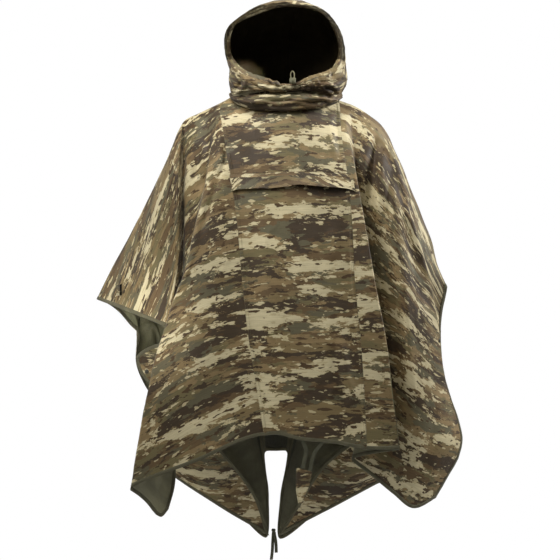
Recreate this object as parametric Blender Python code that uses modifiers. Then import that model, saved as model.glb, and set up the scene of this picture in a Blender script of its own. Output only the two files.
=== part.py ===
"""Hooded rain poncho, hanging as it is worn, empty inside. Metres, +Z up, -Y is the front, +X is the wearer's left.

The cloth is one rectangle, 1.64 m from wrist to wrist and 2.24 m from front hem to back hem, in three lengthwise
widths joined by two long seams, with a hood on the neck hole in the middle and a tape bound round the whole edge.
Each half, front and back, is a loft between its folds. A fold is a line that starts on the shoulder crest and ends at
the hem; its row in the tables below gives where it leaves the crest and its places at named levels down the cloth.
The origin is the middle of the neck hole, level with the shoulders.
"""

import math

import bmesh
import bpy
import numpy as np
from mathutils import Vector

MM = 0.001

# ---- driving dimensions (m) ----
WALL = 0.0018  # cloth wall
TAPE_WALL = 0.0020  # folded binding tape, over the edge
TAPE_WIDTH = 0.009  # binding tape, seen width
GAP = 0.0003  # least air between neighbouring pieces
HALF_WIDTH = 0.82  # cut, centre line to side edge
SEAM_AT = 0.16  # cut, centre line to each long seam
HOOD_WALL = 0.0018
END_FREE = 0.0015  # how far the two bindings stop short of each other at the wrist corners
GROOVE = 0.0016  # how far hood and collar stop short of the bottom of the crease between them
COLLAR_OUT, COLLAR_UP = 0.0018, 0.0065  # the collar's first turn above the neck seam, outwards and up
FLAP_LIFT = 0.007  # how far the pocket flap's lower edge stands off
CREST_ROUND = 0.12  # level by which the crest's own curve has faded out of the loft

# ---- shoulder crest, from the neck hole out to the wrist corner: (cut distance from the centre line, x, y, z mm) ----
CREST_RIGHT = (
    (0.160, -153, 0, 20), (0.196, -193, 0, 0), (0.252, -246, 0, -25), (0.292, -284, 0, -45), (0.323, -300, 0, -73),
    (0.391, -325, 0, -140), (0.512, -381, 0, -255), (0.629, -436, -2, -364), (0.741, -492, -6, -468), (0.820, -528, -10, -543),
)
CREST_LEFT = (
    (0.160, 147, 0, 13), (0.203, 190, 0, -3), (0.253, 231, 0, -28), (0.300, 266, 0, -56), (0.340, 287, 0, -87),
    (0.388, 304, 0, -129), (0.440, 325, 0, -174), (0.503, 346, 0, -230), (0.559, 367, -2, -279), (0.618, 387, -6, -331),
    (0.679, 407, -12, -384), (0.749, 420, -20, -448), (0.820, 447, -30, -509),
)

# ---- folds, one row each: (name, cut distance at the crest, softness, ((level, x, y, z mm), ...)) ----
# softness is 1 for a soft curve across the fold and near 0 for a pressed one. Level 0 is the crest and 1 the hem.
FRONT_FOLDS = (
    ("right_edge", -0.820, 1.0, ((0.05, -505, -30, -551), (0.12, -478, -50, -560), (0.20, -442, -70, -572), (0.30, -402, -90, -587), (0.42, -359, -110, -603), (0.56, -315, -118, -625), (0.60, -310, -110, -645), (0.64, -338, -95, -660), (0.68, -379, -75, -675), (0.72, -412, -50, -705), (0.76, -397, -60, -752), (0.80, -370, -75, -781), (0.87, -332, -105, -881), (0.93, -300, -130, -984), (0.97, -300, -145, -1043), (1.00, -316, -153, -1104))),
    ("right_sleeve", -0.575, 1.0, ((0.05, -397, -35, -326), (0.12, -383, -60, -347), (0.20, -367, -78, -383), (0.30, -350, -93, -444), (0.42, -327, -106, -520), (0.56, -310, -108, -620), (0.60, -303, -95, -640), (0.64, -319, -95, -666), (0.72, -371, -70, -723), (0.80, -344, -95, -803), (0.87, -323, -120, -890), (0.93, -313, -140, -988), (1.00, -336, -160, -1123))),
    ("right_lip", -0.300, 0.35, ((0.05, -290, -30, -68), (0.12, -291, -60, -118), (0.20, -291, -78, -194), (0.30, -291, -90, -304), (0.42, -293, -98, -430), (0.54, -305, -105, -577), (0.60, -296, -75, -633), (0.64, -306, -90, -667), (0.72, -336, -90, -738), (0.80, -326, -115, -821), (0.87, -321, -135, -897), (0.93, -325, -150, -989), (1.00, -348, -165, -1116))),
    ("right_valley", -0.285, 0.5, ((0.05, -282, -15, -61), (0.12, -283, -28, -107), (0.20, -283, -36, -196), (0.30, -285, -40, -310), (0.42, -285, -45, -440), (0.56, -290, -50, -587), (0.60, -292, -55, -622), (0.64, -296, -80, -665), (0.72, -316, -105, -745), (0.80, -322, -130, -825), (0.93, -338, -160, -988), (1.00, -358, -170, -1103))),
    ("right_strip", -0.247, 1.0, ((0.05, -244, -30, -43), (0.12, -254, -55, -88), (0.20, -261, -70, -161), (0.30, -269, -78, -271), (0.42, -274, -83, -394), (0.56, -290, -85, -558), (0.64, -299, -105, -656), (0.72, -319, -130, -744), (0.80, -333, -150, -825), (0.93, -356, -170, -983), (1.00, -371, -175, -1085))),
    ("right_trough", -0.218, 0.8, ((0.05, -214, -35, -30), (0.12, -215, -60, -77), (0.20, -225, -78, -145), (0.30, -233, -88, -236), (0.42, -254, -100, -376), (0.56, -285, -120, -539), (0.64, -310, -145, -643), (0.72, -335, -165, -733), (0.80, -352, -175, -820), (0.93, -378, -185, -976), (1.00, -391, -185, -1064))),
    ("right_fold", -0.200, 0.3, ((0.05, -199, -45, -26), (0.12, -192, -85, -75), (0.20, -204, -120, -144), (0.30, -213, -150, -230), (0.42, -241, -175, -367), (0.56, -290, -190, -530), (0.72, -347, -200, -720), (0.87, -386, -205, -891), (1.00, -413, -200, -1045))),
    ("right_front", -0.185, 1.0, ((0.05, -191, -50, -21), (0.12, -183, -90, -70), (0.20, -181, -130, -142), (0.30, -180, -155, -227), (0.42, -185, -175, -352), (0.56, -202, -195, -509), (0.72, -220, -210, -682), (0.87, -230, -215, -832), (1.00, -232, -220, -966))),
    ("right_seam", -0.160, 1.0, ((0.05, -182, -50, -15), (0.12, -175, -90, -64), (0.20, -163, -120, -138), (0.30, -148, -145, -221), (0.42, -132, -165, -335), (0.56, -118, -185, -490), (0.72, -99, -200, -651), (0.87, -77, -210, -785), (1.00, -59, -215, -899))),
    ("right_middle", None, 1.0, ((0.00, -94, -75, -5), (0.05, -96, -95, -27), (0.12, -93, -115, -67), (0.20, -84, -137, -137), (0.30, -78, -155, -225), (0.42, -67, -170, -335), (0.56, -57, -190, -490), (0.72, -43, -205, -651), (0.87, -30, -212, -788), (1.00, -25, -213, -897))),
    ("centre", None, 1.0, ((0.00, 0, -100, -8), (0.05, -1, -112, -29), (0.12, -1, -125, -68), (0.20, 2, -140, -135), (0.30, 2, -155, -222), (0.42, 5, -170, -335), (0.56, 7, -190, -490), (0.72, 12, -205, -651), (0.87, 15, -215, -787), (1.00, 28, -220, -909))),
    ("left_middle", None, 1.0, ((0.00, 93, -75, -5), (0.05, 89, -95, -27), (0.12, 89, -115, -67), (0.20, 88, -137, -137), (0.30, 90, -155, -225), (0.42, 95, -170, -335), (0.56, 103, -190, -490), (0.72, 115, -210, -651), (0.87, 123, -220, -792), (1.00, 125, -225, -919))),
    ("left_seam", 0.160, 1.0, ((0.05, 149, -50, -21), (0.12, 150, -85, -66), (0.20, 156, -120, -141), (0.30, 166, -145, -221), (0.42, 176, -165, -335), (0.56, 182, -185, -490), (0.72, 197, -200, -651), (0.87, 206, -210, -793), (1.00, 212, -215, -935))),
    ("left_fold", 0.180, 0.25, ((0.05, 168, -45, -26), (0.12, 165, -80, -68), (0.20, 178, -115, -143), (0.30, 190, -145, -221), (0.42, 209, -170, -335), (0.56, 235, -190, -493), (0.72, 266, -200, -657), (0.87, 285, -205, -802), (1.00, 300, -205, -937))),
    ("left_pleat", 0.196, 0.55, ((0.05, 180, -40, -28), (0.12, 179, -60, -69), (0.20, 186, -78, -142), (0.30, 193, -90, -223), (0.42, 201, -100, -340), (0.56, 208, -110, -498), (0.72, 210, -125, -666), (0.87, 198, -140, -813), (1.00, 176, -150, -973))),
    ("left_strip", 0.225, 1.0, ((0.05, 211, -35, -38), (0.12, 212, -60, -83), (0.20, 219, -80, -153), (0.30, 226, -90, -253), (0.42, 244, -100, -381), (0.56, 273, -115, -525), (0.72, 299, -130, -679), (0.87, 285, -140, -845), (1.00, 230, -145, -1017))),
    ("left_sleeve", 0.390, 1.0, ((0.05, 288, -40, -127), (0.12, 274, -75, -161), (0.20, 269, -95, -212), (0.30, 277, -105, -294), (0.42, 298, -115, -414), (0.56, 326, -125, -549), (0.72, 344, -135, -711), (0.87, 338, -140, -888), (1.00, 285, -140, -1063))),
    ("left_crest", 0.600, 1.0, ((0.05, 369, -35, -318), (0.12, 357, -65, -342), (0.20, 349, -85, -375), (0.30, 351, -95, -422), (0.42, 364, -105, -504), (0.56, 385, -110, -612), (0.72, 401, -110, -756), (0.87, 408, -120, -937), (1.00, 343, -120, -1107))),
    ("left_edge", 0.820, 1.0, ((0.12, 442, -35, -537), (0.25, 435, -35, -568), (0.50, 430, -30, -651), (0.62, 437, -30, -734), (0.72, 455, -30, -806), (0.80, 479, -40, -878), (0.85, 488, -50, -932), (0.90, 476, -60, -977), (0.95, 444, -75, -1030), (1.00, 409, -90, -1085))),
)
BACK_FOLDS = (
    ("right_edge", -0.820, 1.0, ((0.05, -500, 0, -555), (0.10, -468, 10, -580), (0.15, -440, 12, -613), (0.22, -408, 0, -649), (0.28, -414, -20, -678), (0.33, -416, -38, -703), (0.38, -380, -10, -803), (0.46, -313, 30, -871), (0.58, -231, 60, -931), (0.70, -147, 90, -1021), (0.86, -82, 118, -1122), (1.00, -49, 134, -1232))),
    ("right_return", -0.680, 1.0, ((0.05, -455, 35, -420), (0.12, -448, 55, -440), (0.20, -440, 60, -485), (0.30, -416, 52, -575), (0.42, -378, 54, -722), (0.56, -316, 64, -850), (0.72, -248, 84, -985), (0.87, -208, 102, -1080), (1.00, -186, 112, -1148))),
    ("right_far_fold", -0.500, 0.8, ((0.05, -372, 42, -250), (0.12, -370, 70, -275), (0.20, -370, 88, -335), (0.30, -370, 98, -445), (0.42, -370, 102, -595), (0.56, -364, 102, -765), (0.72, -348, 104, -925), (0.87, -331, 113, -1018), (1.00, -318, 122, -1062))),
    ("right_blade", -0.330, 1.0, ((0.05, -300, 45, -90), (0.12, -298, 85, -130), (0.20, -298, 112, -205), (0.30, -302, 130, -325), (0.42, -306, 145, -490), (0.56, -298, 156, -672), (0.72, -268, 165, -858), (0.87, -228, 168, -1012), (1.00, -182, 168, -1135))),
    ("right_tie", -0.215, 0.8, ((0.05, -205, 52, -12), (0.12, -205, 98, -62), (0.20, -205, 126, -150), (0.30, -206, 145, -260), (0.42, -210, 162, -400), (0.56, -204, 178, -560), (0.72, -176, 186, -750), (0.87, -120, 182, -965), (1.00, -55, 160, -1241))),
    ("right_seam", -0.160, 1.0, ((0.05, -158, 58, 2), (0.12, -158, 104, -48), (0.20, -158, 134, -130), (0.30, -158, 153, -240), (0.42, -158, 168, -370), (0.56, -152, 184, -525), (0.72, -134, 194, -705), (0.87, -98, 192, -900), (1.00, -50, 178, -1127))),
    ("right_slit", None, 0.6, ((0.00, -80, 78, 14), (0.05, -82, 98, -12), (0.12, -84, 124, -72), (0.20, -84, 150, -155), (0.30, -82, 166, -265), (0.42, -78, 179, -395), (0.56, -70, 193, -545), (0.72, -60, 203, -720), (0.87, -54, 204, -865), (1.00, -55, 196, -994))),
    ("centre", None, 1.0, ((0.00, -4, 100, 12), (0.05, -5, 118, -18), (0.12, -6, 140, -85), (0.20, -8, 158, -170), (0.30, -10, 170, -280), (0.42, -14, 182, -410), (0.56, -18, 196, -560), (0.72, -22, 206, -735), (0.87, -26, 207, -875), (1.00, -28, 199, -994))),
    ("left_slit", None, 0.6, ((0.00, 72, 78, 12), (0.05, 73, 98, -14), (0.12, 73, 124, -74), (0.20, 70, 150, -157), (0.30, 64, 166, -267), (0.42, 54, 179, -397), (0.56, 38, 193, -547), (0.72, 20, 203, -722), (0.87, 4, 204, -867), (1.00, -2, 196, -993))),
    ("left_seam", 0.160, 1.0, ((0.05, 151, 58, -3), (0.12, 151, 104, -53), (0.20, 150, 134, -135), (0.30, 146, 153, -245), (0.42, 140, 168, -375), (0.56, 128, 184, -530), (0.72, 102, 194, -710), (0.87, 52, 192, -905), (1.00, -16, 178, -1125))),
    ("left_tie", 0.215, 0.8, ((0.05, 200, 52, -18), (0.12, 198, 98, -68), (0.20, 197, 126, -155), (0.30, 194, 145, -265), (0.42, 188, 162, -405), (0.56, 172, 178, -565), (0.72, 136, 186, -755), (0.87, 76, 182, -970), (1.00, -20, 160, -1243))),
    ("left_blade", 0.320, 1.0, ((0.05, 281, 45, -92), (0.12, 280, 85, -135), (0.20, 280, 112, -210), (0.30, 282, 130, -328), (0.42, 280, 145, -492), (0.56, 264, 156, -676), (0.72, 228, 165, -860), (0.87, 184, 168, -1012), (1.00, 134, 168, -1140))),
    ("left_far_fold", 0.480, 0.8, ((0.05, 340, 42, -232), (0.12, 340, 70, -265), (0.20, 342, 88, -330), (0.30, 345, 98, -440), (0.42, 348, 102, -595), (0.56, 343, 102, -770), (0.72, 322, 104, -930), (0.87, 298, 112, -1020), (1.00, 280, 122, -1070))),
    ("left_return", 0.680, 1.0, ((0.05, 406, 22, -396), (0.12, 402, 42, -422), (0.20, 400, 50, -470), (0.30, 396, 52, -560), (0.42, 374, 58, -695), (0.56, 306, 68, -846), (0.72, 220, 84, -987), (0.87, 170, 99, -1087), (1.00, 132, 110, -1148))),
    ("left_edge", 0.820, 1.0, ((0.10, 436, 5, -548), (0.17, 426, 16, -580), (0.25, 418, 10, -620), (0.32, 420, -8, -655), (0.39, 400, 15, -735), (0.48, 330, 45, -830), (0.60, 215, 75, -930), (0.73, 100, 98, -1030), (0.87, 32, 118, -1140), (1.00, -22, 134, -1232))),
)

# ---- hood: one row for each line down from the face opening, going round from the chin over the wearer's right (-X)
# side, the crown and the left side: (name, seven places mm: rim, lip, cheek, jaw, crease, roll, under) ----
HOOD_LINES = (
    ("chin", (15, -137, 38), (13, -142, 32), (10, -140, 26), (2, -133, 22), (-1, -122, 18), (-1, -138, -8), (-1, -124, -29)),
    ("right_chin", (-57, -130, 56), (-63, -136, 47), (-71, -135, 33), (-77, -128, 21), (-80, -115, 16), (-83, -128, -8), (-88, -109, -27)),
    ("right_cheek", (-117, -110, 83), (-125, -117, 74), (-133, -112, 50), (-136, -98, 25), (-137, -85, 14), (-139, -88, 4), (-137, -73, -5)),
    ("right_side", (-153, -75, 141), (-165, -68, 136), (-158, -20, 112), (-155, 0, 70), (-152, 4, 36), (-158, -3, 31), (-158, -11, 26)),
    ("right_temple", (-143, -70, 203), (-160, -60, 201), (-157, 20, 185), (-150, 85, 120), (-138, 88, 52), (-136, 88, 32), (-128, 84, 20)),
    ("right_crown", (-82, -95, 233), (-93, -85, 242), (-86, 0, 268), (-88, 125, 198), (-74, 150, 84), (-68, 142, 46), (-62, 126, 26)),
    ("crown", (19, -105, 254), (21, -95, 262), (34, 0, 289), (10, 152, 220), (0, 172, 92), (-3, 162, 50), (-4, 142, 27)),
    ("left_crown", (95, -95, 236), (104, -85, 241), (103, 0, 258), (92, 128, 194), (76, 150, 84), (70, 142, 46), (62, 126, 26)),
    ("left_temple", (131, -70, 196), (145, -60, 196), (150, 20, 185), (154, 85, 120), (140, 88, 52), (136, 88, 32), (126, 84, 20)),
    ("left_side", (145, -75, 141), (156, -68, 141), (165, -20, 111), (170, 0, 70), (156, 4, 33), (157, -2, 24), (150, -9, 19)),
    ("left_cheek", (119, -110, 83), (126, -117, 73), (135, -108, 47), (136, -92, 23), (133, -78, 18), (139, -86, 3), (128, -70, -8)),
    ("left_chin", (64, -130, 60), (69, -136, 51), (72, -135, 38), (72, -128, 28), (72, -113, 22), (77, -129, -3), (82, -109, -24)),
)
HOOD_LEVELS = ("rim", "lip", "cheek", "jaw", "crease", "roll", "under", "stand", "seam")
HOOD_SOFT = (0.4, 0.7, 1.0, 1.0, 0.4, 1.0, 0.8, 0.6, 0.5)
# the neck seam follows the neck hole: (hood line number, fold number on that half of the cloth)
NECK_FRONT = ((-3, 12.0), (-2, 11.5), (-1, 10.95), (0, 10.0), (1, 9.05), (2, 8.5), (3, 8.0))
NECK_BACK = ((3, 5.0), (4, 5.5), (5, 6.15), (6, 7.0), (7, 7.85), (8, 8.5), (9, 9.0))


def smooth_line(points, softness=None, start=None, loop=False):
    """A curve through points, as (values, tangents per unit of chord). softness shortens a point's tangent to sharpen
    the turn there, and start is a fixed direction for the first point."""
    p = np.asarray(points, float)
    n = len(p)
    step = np.roll(p, -1, axis=0) - p
    h = np.maximum(np.linalg.norm(step, axis=-1, keepdims=True), 1e-9)
    unit = step / h
    back_h, back_unit = np.roll(h, 1, axis=0), np.roll(unit, 1, axis=0)
    d = (back_unit * h + unit * back_h) / (h + back_h)
    if not loop:
        d[0], d[-1] = unit[0], back_unit[-1]
        if start is not None:
            d[0] = start
    if softness is not None:
        soft = np.asarray(softness, float).reshape(n, *([1] * (p.ndim - 1)))
        d = d * soft
    return p, d


def on_line(p, d, where, loop=False):
    """Points of a smooth_line at fractional indices."""
    n = len(p)
    where = np.asarray(where, float)
    i = np.floor(where).astype(int)
    if not loop:
        i = np.clip(i, 0, n - 2)
    f = (where - i).reshape(-1, *([1] * (p.ndim - 1)))
    a, b = i % n, (i + 1) % n
    h = np.linalg.norm(p[b] - p[a], axis=-1, keepdims=True)
    h00, h10 = 2 * f**3 - 3 * f**2 + 1, f**3 - 2 * f**2 + f
    h01, h11 = -2 * f**3 + 3 * f**2, f**3 - f**2
    return h00 * p[a] + h10 * h * d[a] + h01 * p[b] + h11 * h * d[b]


def crest_at(u):
    """The shoulder crest at a signed cut distance from the centre line."""
    table = np.array(CREST_RIGHT if u < 0 else CREST_LEFT, float)
    p, d = smooth_line(table[:, 1:] * MM)
    index = np.interp(abs(u), table[:, 0], np.arange(len(table)))
    return on_line(p, d, [index])[0]


class Half:
    """The front or back half of the cloth, as a surface over (fold number, level)."""

    def __init__(self, folds, forward):
        self.names = [f[0] for f in folds]
        self.soft = [f[2] for f in folds]
        self.tops = [f[1] for f in folds]
        self.lines = []
        for name, u, _, rows in folds:
            rows = [(t, (x * MM, y * MM, z * MM)) for t, x, y, z in rows]
            if u is not None:
                rows.insert(0, (0.0, tuple(crest_at(u))))
            levels = np.array([r[0] for r in rows])
            start = (0, forward, 0) if u is not None else None
            self.lines.append((levels, *smooth_line([r[1] for r in rows], start=start)))

    def number(self, name):
        return float(self.names.index(name))

    def points(self, a, t):
        """Points at pairs of fold number and level, two arrays of one shape."""
        a, t = np.broadcast_arrays(np.asarray(a, float), np.asarray(t, float))
        shape, a, t = a.shape, a.ravel(), t.ravel()
        folds = [on_line(p, d, np.interp(t, levels, np.arange(len(levels)))) for levels, p, d in self.lines]
        out = self.across(np.stack(folds), a)
        fade = np.clip(1 - t / CREST_ROUND, 0, 1) ** 2
        tops = np.stack([line[1][0] for line in self.lines])[:, None].repeat(len(a), axis=1)
        miss = np.zeros_like(out)
        for k in np.flatnonzero(fade > 0):
            i = int(min(max(math.floor(a[k]), 0), len(self.tops) - 2))
            u0, u1 = self.tops[i], self.tops[i + 1]
            if u0 is not None and u1 is not None and u0 * u1 > 0:
                miss[k] = crest_at(u0 + (u1 - u0) * (a[k] - i))
            else:
                fade[k] = 0
        out = out + fade[:, None] * (miss - self.across(tops, a))
        return out.reshape(*shape, 3)

    def across(self, folds, a):
        """Points at fold numbers a, one for each of the columns of folds (fold, column, 3)."""
        p, d = smooth_line(folds, self.soft)
        i = np.clip(np.floor(a).astype(int), 0, len(folds) - 2)
        k = np.arange(len(a))
        f = (a - i)[:, None]
        h = np.linalg.norm(p[i + 1, k] - p[i, k], axis=-1, keepdims=True)
        return (
            (2 * f**3 - 3 * f**2 + 1) * p[i, k]
            + (f**3 - 2 * f**2 + f) * h * d[i, k]
            + (-2 * f**3 + 3 * f**2) * p[i + 1, k]
            + (f**3 - f**2) * h * d[i + 1, k]
        )


def steps_between(names, half, counts):
    """Fold numbers from the first named fold to the last, with counts[i] steps between each pair."""
    out = []
    for k, count in enumerate(counts):
        lo, hi = half.number(names[k]), half.number(names[k + 1])
        out += list(np.linspace(lo, hi, count + 1)[:-1])
    return np.array(out + [half.number(names[-1])])


def pull_in(grid, side, by):
    """Moves one border of a grid of points inwards along the cloth by a distance."""
    if by <= 0:
        return
    edge, inner = {
        "a0": (grid[:, 0], grid[:, 1]),
        "a1": (grid[:, -1], grid[:, -2]),
        "t0": (grid[0], grid[1]),
        "t1": (grid[-1], grid[-2]),
    }[side]
    way = inner - edge
    edge += way / np.maximum(np.linalg.norm(way, axis=1, keepdims=True), 1e-9) * by


def off_line(points, line):
    """Distances of points from a polyline."""
    a, b = line[:-1], line[1:]
    way = b - a
    share = ((points[..., None, :] - a) * way).sum(-1) / np.maximum((way * way).sum(-1), 1e-12)
    foot = a + np.clip(share, 0, 1)[..., None] * way
    return np.linalg.norm(points[..., None, :] - foot, axis=-1).min(-1)


def trimmed(half, a, t, cuts):
    """The surface points on fold numbers a and levels t, with distances cut off its borders along the cloth. cuts has a
    distance for any of a0, a1, t0 and t1, the first and last fold and level."""
    a, t = np.meshgrid(np.asarray(a, float), np.asarray(t, float))
    fine = np.linspace(0, 1, 25)
    for side, by in cuts.items():
        along, across = (t, a) if side[0] == "t" else (a.T, t.T)
        flip = side[1] == "1"
        rows = along[::-1] if flip else along
        reach = min(3, len(rows) - 1)
        ways = rows[0] + (rows[reach] - rows[0]) * fine[:, None]
        lines = np.broadcast_to(across[0], ways.shape)
        line = half.points(lines, ways) if side[0] == "t" else half.points(ways, lines)
        border = np.linspace(0, 1 if side[0] == "a" else len(half.lines) - 1, 120)
        at = along[-1 if flip else 0, 0]
        border = half.points(border, at) if side[0] == "t" else half.points(at, border)
        run = np.maximum.accumulate(off_line(line, border), axis=0)
        for c in range(along.shape[1]):
            start = np.interp(by, run[:, c], ways[:, c])
            share = (rows[: reach + 1, c] - rows[0, c]) / (rows[reach, c] - rows[0, c])
            rows[: reach + 1, c] = start + (rows[reach, c] - start) * share
    return half.points(a, t)


def material(name, colour, roughness, metallic=0.0):
    m = bpy.data.materials.new(name)
    m.use_nodes = True
    shader = m.node_tree.nodes["Principled BSDF"]
    shader.inputs["Base Color"].default_value = (*colour, 1)
    shader.inputs["Roughness"].default_value = roughness
    shader.inputs["Metallic"].default_value = metallic
    m.diffuse_color = (*colour, 1)
    return m


def put(name, mesh, mat):
    """An object of the poncho's collection from a mesh."""
    mesh.materials.append(mat)
    obj = bpy.data.objects.new(name, mesh)
    PARTS.objects.link(obj)
    return obj


def sheet(name, grid, mat, wall=WALL, flip=False, loop=False, offset=0.0):
    """A cloth piece: an open grid of points (rows, columns, 3) thickened to its wall."""
    rows, cols = grid.shape[:2]
    bm = bmesh.new()
    verts = [bm.verts.new(p) for p in grid.reshape(-1, 3)]
    last = cols if loop else cols - 1
    for r in range(rows - 1):
        for c in range(last):
            c2 = (c + 1) % cols
            quad = [verts[r * cols + c], verts[r * cols + c2], verts[(r + 1) * cols + c2], verts[(r + 1) * cols + c]]
            bm.faces.new(quad[::-1] if flip else quad)
    bmesh.ops.triangulate(bm, faces=bm.faces[:], quad_method="SHORT_EDGE")
    mesh = bpy.data.meshes.new(name)
    bm.to_mesh(mesh)
    bm.free()
    mesh.shade_smooth()
    obj = put(name, mesh, mat)
    wall_mod = obj.modifiers.new("wall", "SOLIDIFY")
    wall_mod.thickness = wall
    wall_mod.offset = offset
    wall_mod.use_even_offset = False
    return obj


def tape(name, points, width, wall, across, mat):
    """A flat tape with straight ends along a smooth path; across is the direction of its width at each point."""
    p = np.asarray(points, float)
    across = np.broadcast_to(np.asarray(across, float), p.shape)
    way = np.gradient(p, axis=0)
    way /= np.linalg.norm(way, axis=1, keepdims=True)
    side = across - (across * way).sum(1, keepdims=True) * way
    side /= np.linalg.norm(side, axis=1, keepdims=True)
    grid = np.stack([p - side * width / 2, p + side * width / 2], axis=1)
    return sheet(name, grid, mat, wall=wall)


for old in list(bpy.data.objects):
    bpy.data.objects.remove(old)
PARTS = bpy.data.collections.new("rain_poncho")
bpy.context.scene.collection.children.link(PARTS)

CAMO = material("camouflage_cloth", (0.30, 0.25, 0.17), 0.75)
CAMO_DARK = material("camouflage_cloth_hood", (0.26, 0.22, 0.15), 0.75)
TAPE = material("olive_tape", (0.11, 0.11, 0.07), 0.8)
PLASTIC = material("toggle_plastic", (0.10, 0.10, 0.07), 0.45)
CORD = material("olive_cord", (0.20, 0.19, 0.13), 0.85)

front, back = Half(FRONT_FOLDS, -1.0), Half(BACK_FOLDS, 1.0)
EDGE_IN = TAPE_WIDTH + 7 * GAP
SEAM_IN = 0.0005
NECK_IN = WALL + 5 * GAP

# ---- the six body pieces: (name, half, folds, steps between them, levels, borders pulled in) ----
T_SLEEVE = (0, 0.02, 0.05, 0.085, 0.12, 0.20, 0.30, 0.42, 0.49, 0.56, 0.60, 0.64, 0.68, 0.72, 0.76, 0.80, 0.87, 0.92, 0.96, 1)
T_FRONT = (0, 0.02, 0.05, 0.12, 0.20, 0.30, 0.42, 0.56, 0.72, 0.87, 0.96, 1)
T_RIGHT = (0, 0.02, 0.05, 0.085, 0.12, 0.20, 0.30, 0.42, 0.49, 0.56, 0.64, 0.72, 0.80, 0.86, 0.91, 0.96, 1)
T_BACK = (0, 0.02, 0.05, 0.10, 0.15, 0.22, 0.28, 0.33, 0.38, 0.46, 0.53, 0.60, 0.70, 0.80, 0.88, 0.96, 1)
T_SPINE = (0, 0.02, 0.05, 0.12, 0.20, 0.30, 0.42, 0.56, 0.72, 0.87, 0.96, 1)
BODY_PIECES = (
    ("front_centre_panel", front, ("right_seam", "right_middle", "centre", "left_middle", "left_seam"), (2, 2, 2, 2), T_FRONT, {"a0": SEAM_IN, "a1": SEAM_IN, "t0": NECK_IN, "t1": EDGE_IN}),
    ("front_right_side_panel", front, ("right_edge", "right_sleeve", "right_lip", "right_valley", "right_strip", "right_trough", "right_fold", "right_front", "right_seam"), (3, 3, 1, 1, 1, 2, 2, 2), T_SLEEVE, {"a0": EDGE_IN, "a1": SEAM_IN, "t0": 2 * GAP, "t1": EDGE_IN}),
    ("front_left_side_panel", front, ("left_seam", "left_fold", "left_pleat", "left_strip", "left_sleeve", "left_crest", "left_edge"), (2, 2, 2, 3, 3, 3), T_RIGHT, {"a0": 2 * GAP, "a1": EDGE_IN, "t0": 2 * GAP, "t1": EDGE_IN}),
    ("back_centre_panel", back, ("right_seam", "right_slit", "centre", "left_slit", "left_seam"), (2, 2, 2, 2), T_SPINE, {"a0": SEAM_IN, "a1": SEAM_IN, "t0": NECK_IN, "t1": EDGE_IN}),
    ("back_right_side_panel", back, ("right_edge", "right_return", "right_far_fold", "right_blade", "right_tie", "right_seam"), (3, 3, 3, 2, 1), T_BACK, {"a0": EDGE_IN, "a1": SEAM_IN, "t0": 2 * GAP, "t1": EDGE_IN}),
    ("back_left_side_panel", back, ("left_seam", "left_tie", "left_blade", "left_far_fold", "left_return", "left_edge"), (1, 2, 3, 3, 3), T_BACK, {"a0": SEAM_IN, "a1": EDGE_IN, "t0": 2 * GAP, "t1": EDGE_IN}),
)
BODY = {row[0]: row for row in BODY_PIECES}
for name, half, names, counts, levels, cuts in BODY_PIECES:
    sheet(name, trimmed(half, steps_between(names, half, counts), levels, cuts), CAMO, flip=half is back)


# ---- edge binding: a tape folded over the raw edge, one length for the front half and one for the back ----
def bound_line(first, middle, last, free):
    """The edge down one side piece, along the hem of all three and up the other side piece, and the tape's inner line."""
    lines = []
    for by in (0.0, TAPE_WIDTH):
        grids = []
        for name, free_sides in ((first, ("a0", "t1")), (middle, ("t1",)), (last, ("a1", "t1"))):
            _, half, names, counts, levels, _ = BODY[name]
            grids.append(trimmed(half, steps_between(names, half, counts), levels, {s: by for s in free_sides}))
        side, centre, other = grids
        line = np.concatenate([side[:, 0], side[-1, 1:], centre[-1, 1:], other[-1, 1:], other[-2::-1, -1]])
        for end, beside in ((0, 1), (-1, -2)):
            way = line[beside] - line[end]
            line[end] += way / np.linalg.norm(way) * free
        lines.append(line)
    return np.stack(lines, axis=1)


for name, trio in (
    ("front_edge_binding", ("front_right_side_panel", "front_centre_panel", "front_left_side_panel")),
    ("back_edge_binding", ("back_right_side_panel", "back_centre_panel", "back_left_side_panel")),
):
    sheet(name, bound_line(*trio, END_FREE), TAPE, wall=TAPE_WALL)

# ---- hood ----
def neck_hole(around):
    """Points of the body cloth's neck hole at hood line numbers."""
    out = []
    for k in np.asarray(around, float):
        k = (k + 3) % 12 - 3
        half, table = (front, NECK_FRONT) if k <= 3 else (back, NECK_BACK)
        out.append(half.points(np.interp(k, [r[0] for r in table], [r[1] for r in table]), 0.0))
    return np.array(out)


neck = neck_hole(range(12))
outward = neck * (1, 1, 0) / np.linalg.norm(neck[:, :2], axis=1, keepdims=True)
stand = neck + outward * COLLAR_OUT + np.array((0, 0, COLLAR_UP))
hood = np.concatenate([np.array([line[1:] for line in HOOD_LINES], float) * MM, stand[:, None], neck[:, None]], axis=1)


def hood_at(around, down):
    """Hood points (len(down), len(around), 3): around is a line number that wraps, down is a level number."""
    p, d = smooth_line(hood.transpose(1, 0, 2), HOOD_SOFT)
    lines = on_line(p, d, down).transpose(1, 0, 2)
    p, d = smooth_line(lines, loop=True)
    points = on_line(p, d, around, loop=True).transpose(1, 0, 2)
    seam_p, seam_d = smooth_line(neck, loop=True)
    miss = neck_hole(around) - on_line(seam_p, seam_d, around, loop=True)
    near = np.clip(np.asarray(down, float) - (len(HOOD_LEVELS) - 2), 0, 1) ** 2
    return points + near[:, None, None] * miss


def hood_piece(name, around, down, mat, borders, loop=False):
    grid = hood_at(around, down)
    for side, by in borders.items():
        pull_in(grid, side, by)
    return sheet(name, grid, mat, wall=HOOD_WALL, loop=loop, flip=True)


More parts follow.
